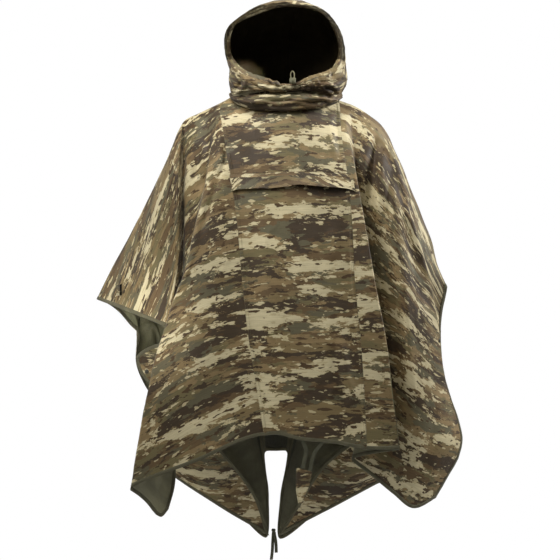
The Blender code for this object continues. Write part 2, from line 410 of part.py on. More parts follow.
half_round = np.linspace(0, 6, 13)
upper = (1, 1.5, 2, 2.5, 3, 3.5, 4)
hood_piece("hood_right_panel", half_round, upper, CAMO_DARK, {"a0": GAP, "a1": GAP, "t0": 2 * GAP, "t1": GROOVE})
hood_piece("hood_left_panel", half_round + 6, upper, CAMO_DARK, {"a0": GAP, "a1": GAP, "t0": 2 * GAP, "t1": GROOVE})
hood_piece("hood_rim_casing", np.arange(24) / 2, (0, 0.5, 1), CAMO_DARK, {"t1": 2 * GAP}, loop=True)
hood_piece("neck_collar", np.arange(24) / 2, (4, 4.5, 5, 5.5, 6, 7, 8), CAMO_DARK, {"t0": GROOVE, "t1": 0.0012}, loop=True)

# ---- chest pocket flap: sewn along its top, its lower edge standing off the front: (fold number, level at the seam,
# level at the lower edge, lift of the lower edge mm) ----
POCKET_FLAP = (
    (8.04, 0.293, 0.334, 3), (8.40, 0.290, 0.329, 6), (8.73, 0.288, 0.3255, 6), (9.40, 0.286, 0.3240, 4), (9.87, 0.285, 0.3215, 5),
    (10.21, 0.284, 0.3165, 9), (10.73, 0.283, 0.3170, 12), (11.36, 0.284, 0.3225, 11), (11.79, 0.286, 0.3265, 8), (12.20, 0.290, 0.331, 5), (12.50, 0.293, 0.3345, 4),
)


def lifted(half, a, t, lift, sign=1.0):
    """Points of the cloth's surface moved out along its normals. sign is -1 for the inner side."""
    a, t, lift = np.broadcast_arrays(np.asarray(a, float), np.asarray(t, float), np.asarray(lift, float))
    e = 0.01
    across = half.points(a + e, t) - half.points(a - e, t)
    down = half.points(a, np.minimum(t + e, 1)) - half.points(a, np.maximum(t - e, 0))
    n = np.cross(down, across)
    n /= np.linalg.norm(n, axis=-1, keepdims=True)
    if half is back:
        n = -n
    return half.points(a, t) + n * (lift * sign)[..., None]


flap = np.array(POCKET_FLAP)
rest = WALL + GAP + 0.0012
share = np.linspace(0, 1, 4)[:, None]
flap_levels = flap[:, 1] + (flap[:, 2] - flap[:, 1]) * share
flap_lift = rest + (flap[:, 3] * MM) * share**1.5
sheet("pocket_flap", lifted(front, flap[:, 0], flap_levels, flap_lift), CAMO, wall=WALL)

# ---- cuff tab: a small rectangle of cloth sewn near the right cuff by one side, the other side standing off ----
TAB_AT = (0.20, 0.124)  # fold number and level of its middle
TAB_SIZE = (0.022, 0.030)


def patch(half, at, size, turn, lifts, steps=(2, 3)):
    """A rectangle of points lying on the cloth: its middle, its size, its turn from straight down, and the lift of its
    two sides and middle."""
    middle = lifted(half, *at, 0.0)
    e = 0.01
    side = lifted(half, at[0] + e, at[1], 0.0) - lifted(half, at[0] - e, at[1], 0.0)
    normal = lifted(half, *at, 1.0) - middle
    down = np.array((math.sin(turn), 0, -math.cos(turn)))
    down -= normal * (down @ normal)
    down /= np.linalg.norm(down)
    right = np.cross(down, normal)
    right *= np.sign(right[0])
    rows = []
    for v in np.linspace(-0.5, 0.5, steps[1] + 1):
        rows.append([middle + right * u * size[0] + down * v * size[1] + normal * np.interp(u, (-0.5, 0, 0.5), lifts) for u in np.linspace(-0.5, 0.5, steps[0] + 1)])
    return np.array(rows), normal


tab, tab_normal = patch(front, TAB_AT, TAB_SIZE, math.radians(8), (0.0035, 0.0035, 0.0075))
sheet("cuff_tab", tab, CAMO, wall=WALL)


# ---- snaps, drawcord, cord lock, hanging tapes and tie ----
def disc(name, at, normal, radius, height, mat, bevel=0.0004, lift=0.0):
    """A press stud's cap: a short round button with a bevelled rim, lying on the cloth."""
    bm = bmesh.new()
    bmesh.ops.create_cone(bm, cap_ends=True, segments=16, radius1=radius, radius2=radius * 0.86, depth=height)
    mesh = bpy.data.meshes.new(name)
    bm.to_mesh(mesh)
    bm.free()
    mesh.shade_flat()
    obj = put(name, mesh, mat)
    n = np.asarray(normal, float) / np.linalg.norm(normal)
    obj.rotation_mode = "QUATERNION"
    obj.rotation_quaternion = Vector(n).to_track_quat("Z", "Y")
    obj.location = np.asarray(at, float) + n * (lift + height / 2)
    return obj


def cord(name, points, radius, mat, cyclic=False):
    """A round cord along points."""
    curve = bpy.data.curves.new(name, "CURVE")
    curve.dimensions = "3D"
    spline = curve.splines.new("POLY")
    spline.points.add(len(points) - 1)
    for k, p in enumerate(points):
        spline.points[k].co = (*p, 1)
    spline.use_cyclic_u = cyclic
    curve.bevel_depth = radius
    curve.bevel_resolution = 2
    curve.use_fill_caps = True
    curve.materials.append(mat)
    obj = bpy.data.objects.new(name, curve)
    PARTS.objects.link(obj)
    return obj


def rounded_box(name, size, at, mat, bevel, turn=(0, 0, 0)):
    bm = bmesh.new()
    bmesh.ops.create_cube(bm, size=1.0)
    bmesh.ops.scale(bm, vec=size, verts=bm.verts)
    mesh = bpy.data.meshes.new(name)
    bm.to_mesh(mesh)
    bm.free()
    obj = put(name, mesh, mat)
    obj.location = at
    obj.rotation_euler = turn
    edge = obj.modifiers.new("edges", "BEVEL")
    edge.width = bevel
    edge.segments = 2
    return obj


def through(points, count):
    """Evenly numbered points of a smooth curve through a few points."""
    p, d = smooth_line(np.asarray(points, float) * MM)
    return on_line(p, d, np.linspace(0, len(points) - 1, count))


SNAP_RADIUS, SNAP_HEIGHT = 0.006, 0.002
for name, half, a, t in (
    ("right_cuff_front_snap", front, 0.62, 0.745), ("right_cuff_back_snap", back, 0.30, 0.36),
    ("left_cuff_front_snap", front, 17.55, 0.56), ("left_cuff_back_snap", back, 13.55, 0.33),
):
    base = lifted(half, a, t, 0.0)
    normal = lifted(half, a, t, 1.0) - base
    disc(name, base, normal, SNAP_RADIUS, SNAP_HEIGHT, PLASTIC, lift=WALL / 2 + 3 * GAP)

# drawcord loop through a cord lock that hangs at the chin from a small tab
LOCK_AT = np.array((17, -153.5, 44)) * MM
LOCK_SIZE = (0.017, 0.010, 0.015)
CORD_RADIUS = 0.0015
rounded_box("cord_lock", LOCK_SIZE, LOCK_AT, PLASTIC, 0.002, (math.radians(-8), 0, 0))
loop_foot = LOCK_AT[2] / MM + LOCK_SIZE[2] / MM / 2 + 1.2
loop = through(((12.6, -154.0, loop_foot), (11.6, -153.5, loop_foot + 7), (13.4, -153.0, loop_foot + 14), (17, -152.6, loop_foot + 17), (20.4, -153.0, loop_foot + 13), (21.8, -153.6, loop_foot + 6), (21.2, -154.0, loop_foot)), 19)
cord("drawcord_loop", loop, CORD_RADIUS, CORD)
tab_grid = hood_at(np.linspace(0.17, -0.16, 4), (1.15, 1.6, 2.1, 2.6))
tab_out = np.cross(np.gradient(tab_grid, axis=1), np.gradient(tab_grid, axis=0))
tab_out /= np.linalg.norm(tab_out, axis=-1, keepdims=True)
tab_out *= np.sign(-tab_out[..., 1:2])
sheet("cord_lock_tab", tab_grid + tab_out * (WALL + 2 * GAP), CAMO_DARK, wall=WALL)

# hanging loop: two tapes from inside the front hem, joined in a pointed cloth tab
HANG_WIDTH, HANG_WALL = 0.010, 0.0015
TAB_OUTLINE = ((27, -986), (69, -997), (60, -1036), (34, -1095), (25, -1044))
TAB_Y = -203
inside = WALL / 2 + 8 * GAP + HANG_WALL / 2
for name, a, path in (
    ("hanging_tape_right", 10.15, ((52, -210, -939), (48, -207, -962), (43, TAB_Y, -988.6))),
    ("hanging_tape_left", 10.66, ((75, -211, -943), (68, -207, -966), (63, TAB_Y, -993.8))),
):
    on_cloth = [lifted(front, a, t, inside + extra, -1.0) / MM for t, extra in ((0.968, 0.0), (0.984, 0.0001), (1.0, 0.001))]
    tape(name, through(on_cloth + list(path), 13), HANG_WIDTH, HANG_WALL, (1, 0, 0.05), TAPE)
outline = bpy.data.curves.new("hanging_tab", "CURVE")
outline.dimensions = "2D"
outline.fill_mode = "BOTH"
outline.extrude = 0.0013
spline = outline.splines.new("POLY")
spline.points.add(len(TAB_OUTLINE) - 1)
for k, (x, z) in enumerate(TAB_OUTLINE):
    spline.points[k].co = (x * MM, z * MM, 0, 1)
spline.use_cyclic_u = True
outline.materials.append(CAMO)
hang = bpy.data.objects.new("hanging_tab", outline)
hang.rotation_euler = (math.radians(90), 0, 0)
hang.location = (0, TAB_Y * MM, 0)
PARTS.objects.link(hang)

# the tie that gathers the two back corners: a knot and its two ends
KNOT_AT = np.array((-35.5, 128, -1216)) * MM
rounded_box("back_tie_knot", (0.015, 0.013, 0.016), KNOT_AT, TAPE, 0.004, (0, math.radians(12), 0))
TIE_WIDTH, TIE_WALL = 0.010, 0.0014
for name, path in (
    ("back_tie_end_right", ((-36.5, 129, -1225.5), (-38, 130, -1250), (-39, 131, -1275), (-42, 132, -1302))),
    ("back_tie_end_left", ((-33.0, 125.5, -1225.5), (-29.5, 124, -1245), (-28, 123, -1262), (-27.5, 122, -1279))),
):
    tape(name, through(path, 9), TIE_WIDTH, TIE_WALL, (1, 0.5, 0), TAPE)
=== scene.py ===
"""Looks of the hooded camouflage rain poncho. Metres, in the frame of the CAD part: -Y is the front, +X the wearer's
left, and the origin is the middle of the neck hole. The cloth follows the same folds as the CAD part's solids, at a
finer step, with its smaller creases listed in the tables below."""

import math

import bmesh
import bpy
import numpy as np
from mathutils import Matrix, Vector


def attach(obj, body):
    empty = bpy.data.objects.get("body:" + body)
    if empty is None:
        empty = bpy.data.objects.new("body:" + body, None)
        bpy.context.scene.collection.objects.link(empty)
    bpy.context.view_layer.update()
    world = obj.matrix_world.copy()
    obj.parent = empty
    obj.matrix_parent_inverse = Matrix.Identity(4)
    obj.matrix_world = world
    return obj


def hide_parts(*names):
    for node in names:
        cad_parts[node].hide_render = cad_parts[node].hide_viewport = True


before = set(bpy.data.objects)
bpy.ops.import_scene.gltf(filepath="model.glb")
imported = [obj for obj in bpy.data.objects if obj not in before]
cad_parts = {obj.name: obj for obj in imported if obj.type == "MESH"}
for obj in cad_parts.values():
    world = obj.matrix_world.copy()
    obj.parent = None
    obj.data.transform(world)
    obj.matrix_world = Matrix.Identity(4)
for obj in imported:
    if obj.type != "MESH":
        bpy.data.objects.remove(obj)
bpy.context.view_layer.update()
MM = 0.001

# ---- camera: level, at the photograph's distance; the image is taken as 560 x 560 ----
CAMERA_AT = (-0.0168, -3.6, -0.49)
FOCAL_PX, HALF_PX = 1286.0, 280.0
cam = bpy.data.objects.new("camera", bpy.data.cameras.new("camera"))
bpy.context.scene.collection.objects.link(cam)
cam.location = CAMERA_AT
cam.rotation_euler = (math.radians(90), 0, 0)
cam.data.angle = 2 * math.atan(HALF_PX / FOCAL_PX)
bpy.context.scene.camera = cam

# ---- cloth sizes (m) ----
CLOTH = 0.0008  # shown wall
TAPE_WIDTH = 0.009
LAP = 0.009  # the long seams' folded width
HOOD_WALL = 0.0018
COLLAR_OUT, COLLAR_UP = 0.0018, 0.0065
CREST_ROUND = 0.12
FINE = 1.0  # share of the mesh steps

# ---- shoulder crest, from the neck hole out to the wrist corner: (cut distance from the centre line, x, y, z mm) ----
CREST_RIGHT = (
    (0.160, -153, 0, 20), (0.196, -193, 0, 0), (0.252, -246, 0, -25), (0.292, -284, 0, -45), (0.323, -300, 0, -73),
    (0.391, -325, 0, -140), (0.512, -381, 0, -255), (0.629, -436, -2, -364), (0.741, -492, -6, -468), (0.820, -528, -10, -543),
)
CREST_LEFT = (
    (0.160, 147, 0, 13), (0.203, 190, 0, -3), (0.253, 231, 0, -28), (0.300, 266, 0, -56), (0.340, 287, 0, -87),
    (0.388, 304, 0, -129), (0.440, 325, 0, -174), (0.503, 346, 0, -230), (0.559, 367, -2, -279), (0.618, 387, -6, -331),
    (0.679, 407, -12, -384), (0.749, 420, -20, -448), (0.820, 447, -30, -509),
)

# ---- folds, one row each: (name, cut distance at the crest, softness, ((level, x, y, z mm), ...)) ----
# softness is 1 for a soft curve across the fold and near 0 for a pressed one. Level 0 is the crest and 1 the hem.
FRONT_FOLDS = (
    ("right_edge", -0.820, 1.0, ((0.05, -505, -30, -551), (0.12, -478, -50, -560), (0.20, -442, -70, -572), (0.30, -402, -90, -587), (0.42, -359, -110, -603), (0.56, -315, -118, -625), (0.60, -310, -110, -645), (0.64, -338, -95, -660), (0.68, -379, -75, -675), (0.72, -412, -50, -705), (0.76, -397, -60, -752), (0.80, -370, -75, -781), (0.87, -332, -105, -881), (0.93, -300, -130, -984), (0.97, -300, -145, -1043), (1.00, -316, -153, -1104))),
    ("right_sleeve", -0.575, 1.0, ((0.05, -397, -35, -326), (0.12, -383, -60, -347), (0.20, -367, -78, -383), (0.30, -350, -93, -444), (0.42, -327, -106, -520), (0.56, -310, -108, -620), (0.60, -303, -95, -640), (0.64, -319, -95, -666), (0.72, -371, -70, -723), (0.80, -344, -95, -803), (0.87, -323, -120, -890), (0.93, -313, -140, -988), (1.00, -336, -160, -1123))),
    ("right_lip", -0.300, 0.35, ((0.05, -290, -30, -68), (0.12, -291, -60, -118), (0.20, -291, -78, -194), (0.30, -291, -90, -304), (0.42, -293, -98, -430), (0.54, -305, -105, -577), (0.60, -296, -75, -633), (0.64, -306, -90, -667), (0.72, -336, -90, -738), (0.80, -326, -115, -821), (0.87, -321, -135, -897), (0.93, -325, -150, -989), (1.00, -348, -165, -1116))),
    ("right_valley", -0.285, 0.5, ((0.05, -282, -15, -61), (0.12, -283, -28, -107), (0.20, -283, -36, -196), (0.30, -285, -40, -310), (0.42, -285, -45, -440), (0.56, -290, -50, -587), (0.60, -292, -55, -622), (0.64, -296, -80, -665), (0.72, -316, -105, -745), (0.80, -322, -130, -825), (0.93, -338, -160, -988), (1.00, -358, -170, -1103))),
    ("right_strip", -0.247, 1.0, ((0.05, -244, -30, -43), (0.12, -254, -55, -88), (0.20, -261, -70, -161), (0.30, -269, -78, -271), (0.42, -274, -83, -394), (0.56, -290, -85, -558), (0.64, -299, -105, -656), (0.72, -319, -130, -744), (0.80, -333, -150, -825), (0.93, -356, -170, -983), (1.00, -371, -175, -1085))),
    ("right_trough", -0.218, 0.8, ((0.05, -214, -35, -30), (0.12, -215, -60, -77), (0.20, -225, -78, -145), (0.30, -233, -88, -236), (0.42, -254, -100, -376), (0.56, -285, -120, -539), (0.64, -310, -145, -643), (0.72, -335, -165, -733), (0.80, -352, -175, -820), (0.93, -378, -185, -976), (1.00, -391, -185, -1064))),
    ("right_fold", -0.200, 0.3, ((0.05, -199, -45, -26), (0.12, -192, -85, -75), (0.20, -204, -120, -144), (0.30, -213, -150, -230), (0.42, -241, -175, -367), (0.56, -290, -190, -530), (0.72, -347, -200, -720), (0.87, -386, -205, -891), (1.00, -413, -200, -1045))),
    ("right_front", -0.185, 1.0, ((0.05, -191, -50, -21), (0.12, -183, -90, -70), (0.20, -181, -130, -142), (0.30, -180, -155, -227), (0.42, -185, -175, -352), (0.56, -202, -195, -509), (0.72, -220, -210, -682), (0.87, -230, -215, -832), (1.00, -232, -220, -966))),
    ("right_seam", -0.160, 1.0, ((0.05, -182, -50, -15), (0.12, -175, -90, -64), (0.20, -163, -120, -138), (0.30, -148, -145, -221), (0.42, -132, -165, -335), (0.56, -118, -185, -490), (0.72, -99, -200, -651), (0.87, -77, -210, -785), (1.00, -59, -215, -899))),
    ("right_middle", None, 1.0, ((0.00, -94, -75, -5), (0.05, -96, -95, -27), (0.12, -93, -115, -67), (0.20, -84, -137, -137), (0.30, -78, -155, -225), (0.42, -67, -170, -335), (0.56, -57, -190, -490), (0.72, -43, -205, -651), (0.87, -30, -212, -788), (1.00, -25, -213, -897))),
    ("centre", None, 1.0, ((0.00, 0, -100, -8), (0.05, -1, -112, -29), (0.12, -1, -125, -68), (0.20, 2, -140, -135), (0.30, 2, -155, -222), (0.42, 5, -170, -335), (0.56, 7, -190, -490), (0.72, 12, -205, -651), (0.87, 15, -215, -787), (1.00, 28, -220, -909))),
    ("left_middle", None, 1.0, ((0.00, 93, -75, -5), (0.05, 89, -95, -27), (0.12, 89, -115, -67), (0.20, 88, -137, -137), (0.30, 90, -155, -225), (0.42, 95, -170, -335), (0.56, 103, -190, -490), (0.72, 115, -210, -651), (0.87, 123, -220, -792), (1.00, 125, -225, -919))),
    ("left_seam", 0.160, 1.0, ((0.05, 149, -50, -21), (0.12, 150, -85, -66), (0.20, 156, -120, -141), (0.30, 166, -145, -221), (0.42, 176, -165, -335), (0.56, 182, -185, -490), (0.72, 197, -200, -651), (0.87, 206, -210, -793), (1.00, 212, -215, -935))),
    ("left_fold", 0.180, 0.25, ((0.05, 168, -45, -26), (0.12, 165, -80, -68), (0.20, 178, -115, -143), (0.30, 190, -145, -221), (0.42, 209, -170, -335), (0.56, 235, -190, -493), (0.72, 266, -200, -657), (0.87, 285, -205, -802), (1.00, 300, -205, -937))),
    ("left_pleat", 0.196, 0.55, ((0.05, 180, -40, -28), (0.12, 179, -60, -69), (0.20, 186, -78, -142), (0.30, 193, -90, -223), (0.42, 201, -100, -340), (0.56, 208, -110, -498), (0.72, 210, -125, -666), (0.87, 198, -140, -813), (1.00, 176, -150, -973))),
    ("left_strip", 0.225, 1.0, ((0.05, 211, -35, -38), (0.12, 212, -60, -83), (0.20, 219, -80, -153), (0.30, 226, -90, -253), (0.42, 244, -100, -381), (0.56, 273, -115, -525), (0.72, 299, -130, -679), (0.87, 285, -140, -845), (1.00, 230, -145, -1017))),
    ("left_sleeve", 0.390, 1.0, ((0.05, 288, -40, -127), (0.12, 274, -75, -161), (0.20, 269, -95, -212), (0.30, 277, -105, -294), (0.42, 298, -115, -414), (0.56, 326, -125, -549), (0.72, 344, -135, -711), (0.87, 338, -140, -888), (1.00, 285, -140, -1063))),
    ("left_crest", 0.600, 1.0, ((0.05, 369, -35, -318), (0.12, 357, -65, -342), (0.20, 349, -85, -375), (0.30, 351, -95, -422), (0.42, 364, -105, -504), (0.56, 385, -110, -612), (0.72, 401, -110, -756), (0.87, 408, -120, -937), (1.00, 343, -120, -1107))),
    ("left_edge", 0.820, 1.0, ((0.12, 442, -35, -537), (0.25, 435, -35, -568), (0.50, 430, -30, -651), (0.62, 437, -30, -734), (0.72, 455, -30, -806), (0.80, 479, -40, -878), (0.85, 488, -50, -932), (0.90, 476, -60, -977), (0.95, 444, -75, -1030), (1.00, 409, -90, -1085))),
)
BACK_FOLDS = (
    ("right_edge", -0.820, 1.0, ((0.05, -500, 0, -555), (0.10, -468, 10, -580), (0.15, -440, 12, -613), (0.22, -408, 0, -649), (0.28, -414, -20, -678), (0.33, -416, -38, -703), (0.38, -380, -10, -803), (0.46, -313, 30, -871), (0.58, -231, 60, -931), (0.70, -147, 90, -1021), (0.86, -82, 118, -1122), (1.00, -49, 134, -1232))),
    ("right_return", -0.680, 1.0, ((0.05, -455, 35, -420), (0.12, -448, 55, -440), (0.20, -440, 60, -485), (0.30, -416, 52, -575), (0.42, -378, 54, -722), (0.56, -316, 64, -850), (0.72, -248, 84, -985), (0.87, -208, 102, -1080), (1.00, -186, 112, -1148))),
    ("right_far_fold", -0.500, 0.8, ((0.05, -372, 42, -250), (0.12, -370, 70, -275), (0.20, -370, 88, -335), (0.30, -370, 98, -445), (0.42, -370, 102, -595), (0.56, -364, 102, -765), (0.72, -348, 104, -925), (0.87, -331, 113, -1018), (1.00, -318, 122, -1062))),
    ("right_blade", -0.330, 1.0, ((0.05, -300, 45, -90), (0.12, -298, 85, -130), (0.20, -298, 112, -205), (0.30, -302, 130, -325), (0.42, -306, 145, -490), (0.56, -298, 156, -672), (0.72, -268, 165, -858), (0.87, -228, 168, -1012), (1.00, -182, 168, -1135))),
    ("right_tie", -0.215, 0.8, ((0.05, -205, 52, -12), (0.12, -205, 98, -62), (0.20, -205, 126, -150), (0.30, -206, 145, -260), (0.42, -210, 162, -400), (0.56, -204, 178, -560), (0.72, -176, 186, -750), (0.87, -120, 182, -965), (1.00, -55, 160, -1241))),
    ("right_seam", -0.160, 1.0, ((0.05, -158, 58, 2), (0.12, -158, 104, -48), (0.20, -158, 134, -130), (0.30, -158, 153, -240), (0.42, -158, 168, -370), (0.56, -152, 184, -525), (0.72, -134, 194, -705), (0.87, -98, 192, -900), (1.00, -50, 178, -1127))),
    ("right_slit", None, 0.6, ((0.00, -80, 78, 14), (0.05, -82, 98, -12), (0.12, -84, 124, -72), (0.20, -84, 150, -155), (0.30, -82, 166, -265), (0.42, -78, 179, -395), (0.56, -70, 193, -545), (0.72, -60, 203, -720), (0.87, -54, 204, -865), (1.00, -55, 196, -994))),
    ("centre", None, 1.0, ((0.00, -4, 100, 12), (0.05, -5, 118, -18), (0.12, -6, 140, -85), (0.20, -8, 158, -170), (0.30, -10, 170, -280), (0.42, -14, 182, -410), (0.56, -18, 196, -560), (0.72, -22, 206, -735), (0.87, -26, 207, -875), (1.00, -28, 199, -994))),
    ("left_slit", None, 0.6, ((0.00, 72, 78, 12), (0.05, 73, 98, -14), (0.12, 73, 124, -74), (0.20, 70, 150, -157), (0.30, 64, 166, -267), (0.42, 54, 179, -397), (0.56, 38, 193, -547), (0.72, 20, 203, -722), (0.87, 4, 204, -867), (1.00, -2, 196, -993))),
    ("left_seam", 0.160, 1.0, ((0.05, 151, 58, -3), (0.12, 151, 104, -53), (0.20, 150, 134, -135), (0.30, 146, 153, -245), (0.42, 140, 168, -375), (0.56, 128, 184, -530), (0.72, 102, 194, -710), (0.87, 52, 192, -905), (1.00, -16, 178, -1125))),
    ("left_tie", 0.215, 0.8, ((0.05, 200, 52, -18), (0.12, 198, 98, -68), (0.20, 197, 126, -155), (0.30, 194, 145, -265), (0.42, 188, 162, -405), (0.56, 172, 178, -565), (0.72, 136, 186, -755), (0.87, 76, 182, -970), (1.00, -20, 160, -1243))),
    ("left_blade", 0.320, 1.0, ((0.05, 281, 45, -92), (0.12, 280, 85, -135), (0.20, 280, 112, -210), (0.30, 282, 130, -328), (0.42, 280, 145, -492), (0.56, 264, 156, -676), (0.72, 228, 165, -860), (0.87, 184, 168, -1012), (1.00, 134, 168, -1140))),
    ("left_far_fold", 0.480, 0.8, ((0.05, 340, 42, -232), (0.12, 340, 70, -265), (0.20, 342, 88, -330), (0.30, 345, 98, -440), (0.42, 348, 102, -595), (0.56, 343, 102, -770), (0.72, 322, 104, -930), (0.87, 298, 112, -1020), (1.00, 280, 122, -1070))),
    ("left_return", 0.680, 1.0, ((0.05, 406, 22, -396), (0.12, 402, 42, -422), (0.20, 400, 50, -470), (0.30, 396, 52, -560), (0.42, 374, 58, -695), (0.56, 306, 68, -846), (0.72, 220, 84, -987), (0.87, 170, 99, -1087), (1.00, 132, 110, -1148))),
    ("left_edge", 0.820, 1.0, ((0.10, 436, 5, -548), (0.17, 426, 16, -580), (0.25, 418, 10, -620), (0.32, 420, -8, -655), (0.39, 400, 15, -735), (0.48, 330, 45, -830), (0.60, 215, 75, -930), (0.73, 100, 98, -1030), (0.87, 32, 118, -1140), (1.00, -22, 134, -1232))),
)

# ---- hood: one row for each line down from the face opening, going round from the chin over the wearer's right (-X)
# side, the crown and the left side: (name, seven places mm: rim, lip, cheek, jaw, crease, roll, under) ----
HOOD_LINES = (
    ("chin", (15, -137, 38), (13, -142, 32), (10, -140, 26), (2, -133, 22), (-1, -122, 18), (-1, -138, -8), (-1, -124, -29)),
    ("right_chin", (-57, -130, 56), (-63, -136, 47), (-71, -135, 33), (-77, -128, 21), (-80, -115, 16), (-83, -128, -8), (-88, -109, -27)),
    ("right_cheek", (-117, -110, 83), (-125, -117, 74), (-133, -112, 50), (-136, -98, 25), (-137, -85, 14), (-139, -88, 4), (-137, -73, -5)),
    ("right_side", (-153, -75, 141), (-165, -68, 136), (-158, -20, 112), (-155, 0, 70), (-152, 4, 36), (-158, -3, 31), (-158, -11, 26)),
    ("right_temple", (-143, -70, 203), (-160, -60, 201), (-157, 20, 185), (-150, 85, 120), (-138, 88, 52), (-136, 88, 32), (-128, 84, 20)),
    ("right_crown", (-82, -95, 233), (-93, -85, 242), (-86, 0, 268), (-88, 125, 198), (-74, 150, 84), (-68, 142, 46), (-62, 126, 26)),
    ("crown", (19, -105, 254), (21, -95, 262), (34, 0, 289), (10, 152, 220), (0, 172, 92), (-3, 162, 50), (-4, 142, 27)),
    ("left_crown", (95, -95, 236), (104, -85, 241), (103, 0, 258), (92, 128, 194), (76, 150, 84), (70, 142, 46), (62, 126, 26)),
    ("left_temple", (131, -70, 196), (145, -60, 196), (150, 20, 185), (154, 85, 120), (140, 88, 52), (136, 88, 32), (126, 84, 20)),
    ("left_side", (145, -75, 141), (156, -68, 141), (165, -20, 111), (170, 0, 70), (156, 4, 33), (157, -2, 24), (150, -9, 19)),
    ("left_cheek", (119, -110, 83), (126, -117, 73), (135, -108, 47), (136, -92, 23), (133, -78, 18), (139, -86, 3), (128, -70, -8)),
    ("left_chin", (64, -130, 60), (69, -136, 51), (72, -135, 38), (72, -128, 28), (72, -113, 22), (77, -129, -3), (82, -109, -24)),
)
HOOD_LEVELS = ("rim", "lip", "cheek", "jaw", "crease", "roll", "under", "stand", "seam")
HOOD_SOFT = (0.4, 0.7, 1.0, 1.0, 0.4, 1.0, 0.8, 0.6, 0.5)
# the neck seam follows the neck hole: (hood line number, fold number on that half of the cloth)
NECK_FRONT = ((-3, 12.0), (-2, 11.5), (-1, 10.95), (0, 10.0), (1, 9.05), (2, 8.5), (3, 8.0))
NECK_BACK = ((3, 5.0), (4, 5.5), (5, 6.15), (6, 7.0), (7, 7.85), (8, 8.5), (9, 9.0))



# where each fold lies on the flat cut: (name, ((level, across m, along m), ...)), straight between the places
CUT_FRONT = (
    ("right_edge", ((0, -0.82, 0), (0.56, -0.82, 0.21), (1, -0.82, 1.12))),
    ("right_sleeve", ((0, -0.57, 0), (0.12, -0.60, 0.06), (0.30, -0.68, 0.118), (0.56, -0.79, 0.20), (1, -0.77, 1.12))),
    ("right_lip", ((0, -0.295, 0), (0.12, -0.355, 0.06), (0.30, -0.52, 0.118), (0.54, -0.76, 0.195), (1, -0.735, 1.12))),
    ("right_valley", ((0, -0.29, 0), (0.30, -0.395, 0.26), (0.56, -0.50, 0.60), (1, -0.71, 1.12))),
    ("right_strip", ((0, -0.247, 0), (0.20, -0.29, 0.22), (1, -0.68, 1.12))),
    ("right_trough", ((0, -0.218, 0), (1, -0.65, 1.12))),
    ("right_fold", ((0, -0.20, 0), (1, -0.60, 1.12))),
    ("right_front", ((0, -0.185, 0), (1, -0.345, 1.12))),
    ("right_seam", ((0, -0.16, 0), (1, -0.16, 1.12))),
    ("right_middle", ((0, -0.08, 0.08), (1, -0.08, 1.12))),
    ("centre", ((0, 0, 0.11), (1, 0, 1.12))),
    ("left_middle", ((0, 0.08, 0.08), (1, 0.08, 1.12))),
    ("left_seam", ((0, 0.16, 0), (1, 0.16, 1.12))),
    ("left_fold", ((0, 0.18, 0), (1, 0.30, 1.12))),
    ("left_pleat", ((0, 0.196, 0), (1, 0.42, 1.12))),
    ("left_strip", ((0, 0.225, 0), (1, 0.51, 1.12))),
    ("left_sleeve", ((0, 0.39, 0), (1, 0.60, 1.12))),
    ("left_crest", ((0, 0.60, 0), (1, 0.69, 1.12))),
    ("left_edge", ((0, 0.82, 0), (1, 0.82, 1.12))),
)
CUT_BACK = (
    ("right_edge", ((0, -0.82, 0), (1, -0.82, -1.12))),
    ("right_return", ((0, -0.68, 0), (1, -0.68, -1.12))),
    ("right_far_fold", ((0, -0.50, 0), (1, -0.53, -1.12))),
    ("right_blade", ((0, -0.33, 0), (1, -0.38, -1.12))),
    ("right_tie", ((0, -0.215, 0), (1, -0.24, -1.12))),
    ("right_seam", ((0, -0.16, 0), (1, -0.16, -1.12))),
    ("right_slit", ((0, -0.08, -0.08), (1, -0.08, -1.05))),
    ("centre", ((0, 0, -0.10), (1, 0, -1.05))),
    ("left_slit", ((0, 0.08, -0.08), (1, 0.08, -1.05))),
    ("left_seam", ((0, 0.16, 0), (1, 0.16, -1.12))),
    ("left_tie", ((0, 0.215, 0), (1, 0.24, -1.12))),
    ("left_blade", ((0, 0.32, 0), (1, 0.38, -1.12))),
    ("left_far_fold", ((0, 0.48, 0), (1, 0.53, -1.12))),
    ("left_return", ((0, 0.68, 0), (1, 0.68, -1.12))),
    ("left_edge", ((0, 0.82, 0), (1, 0.82, -1.12))),
)

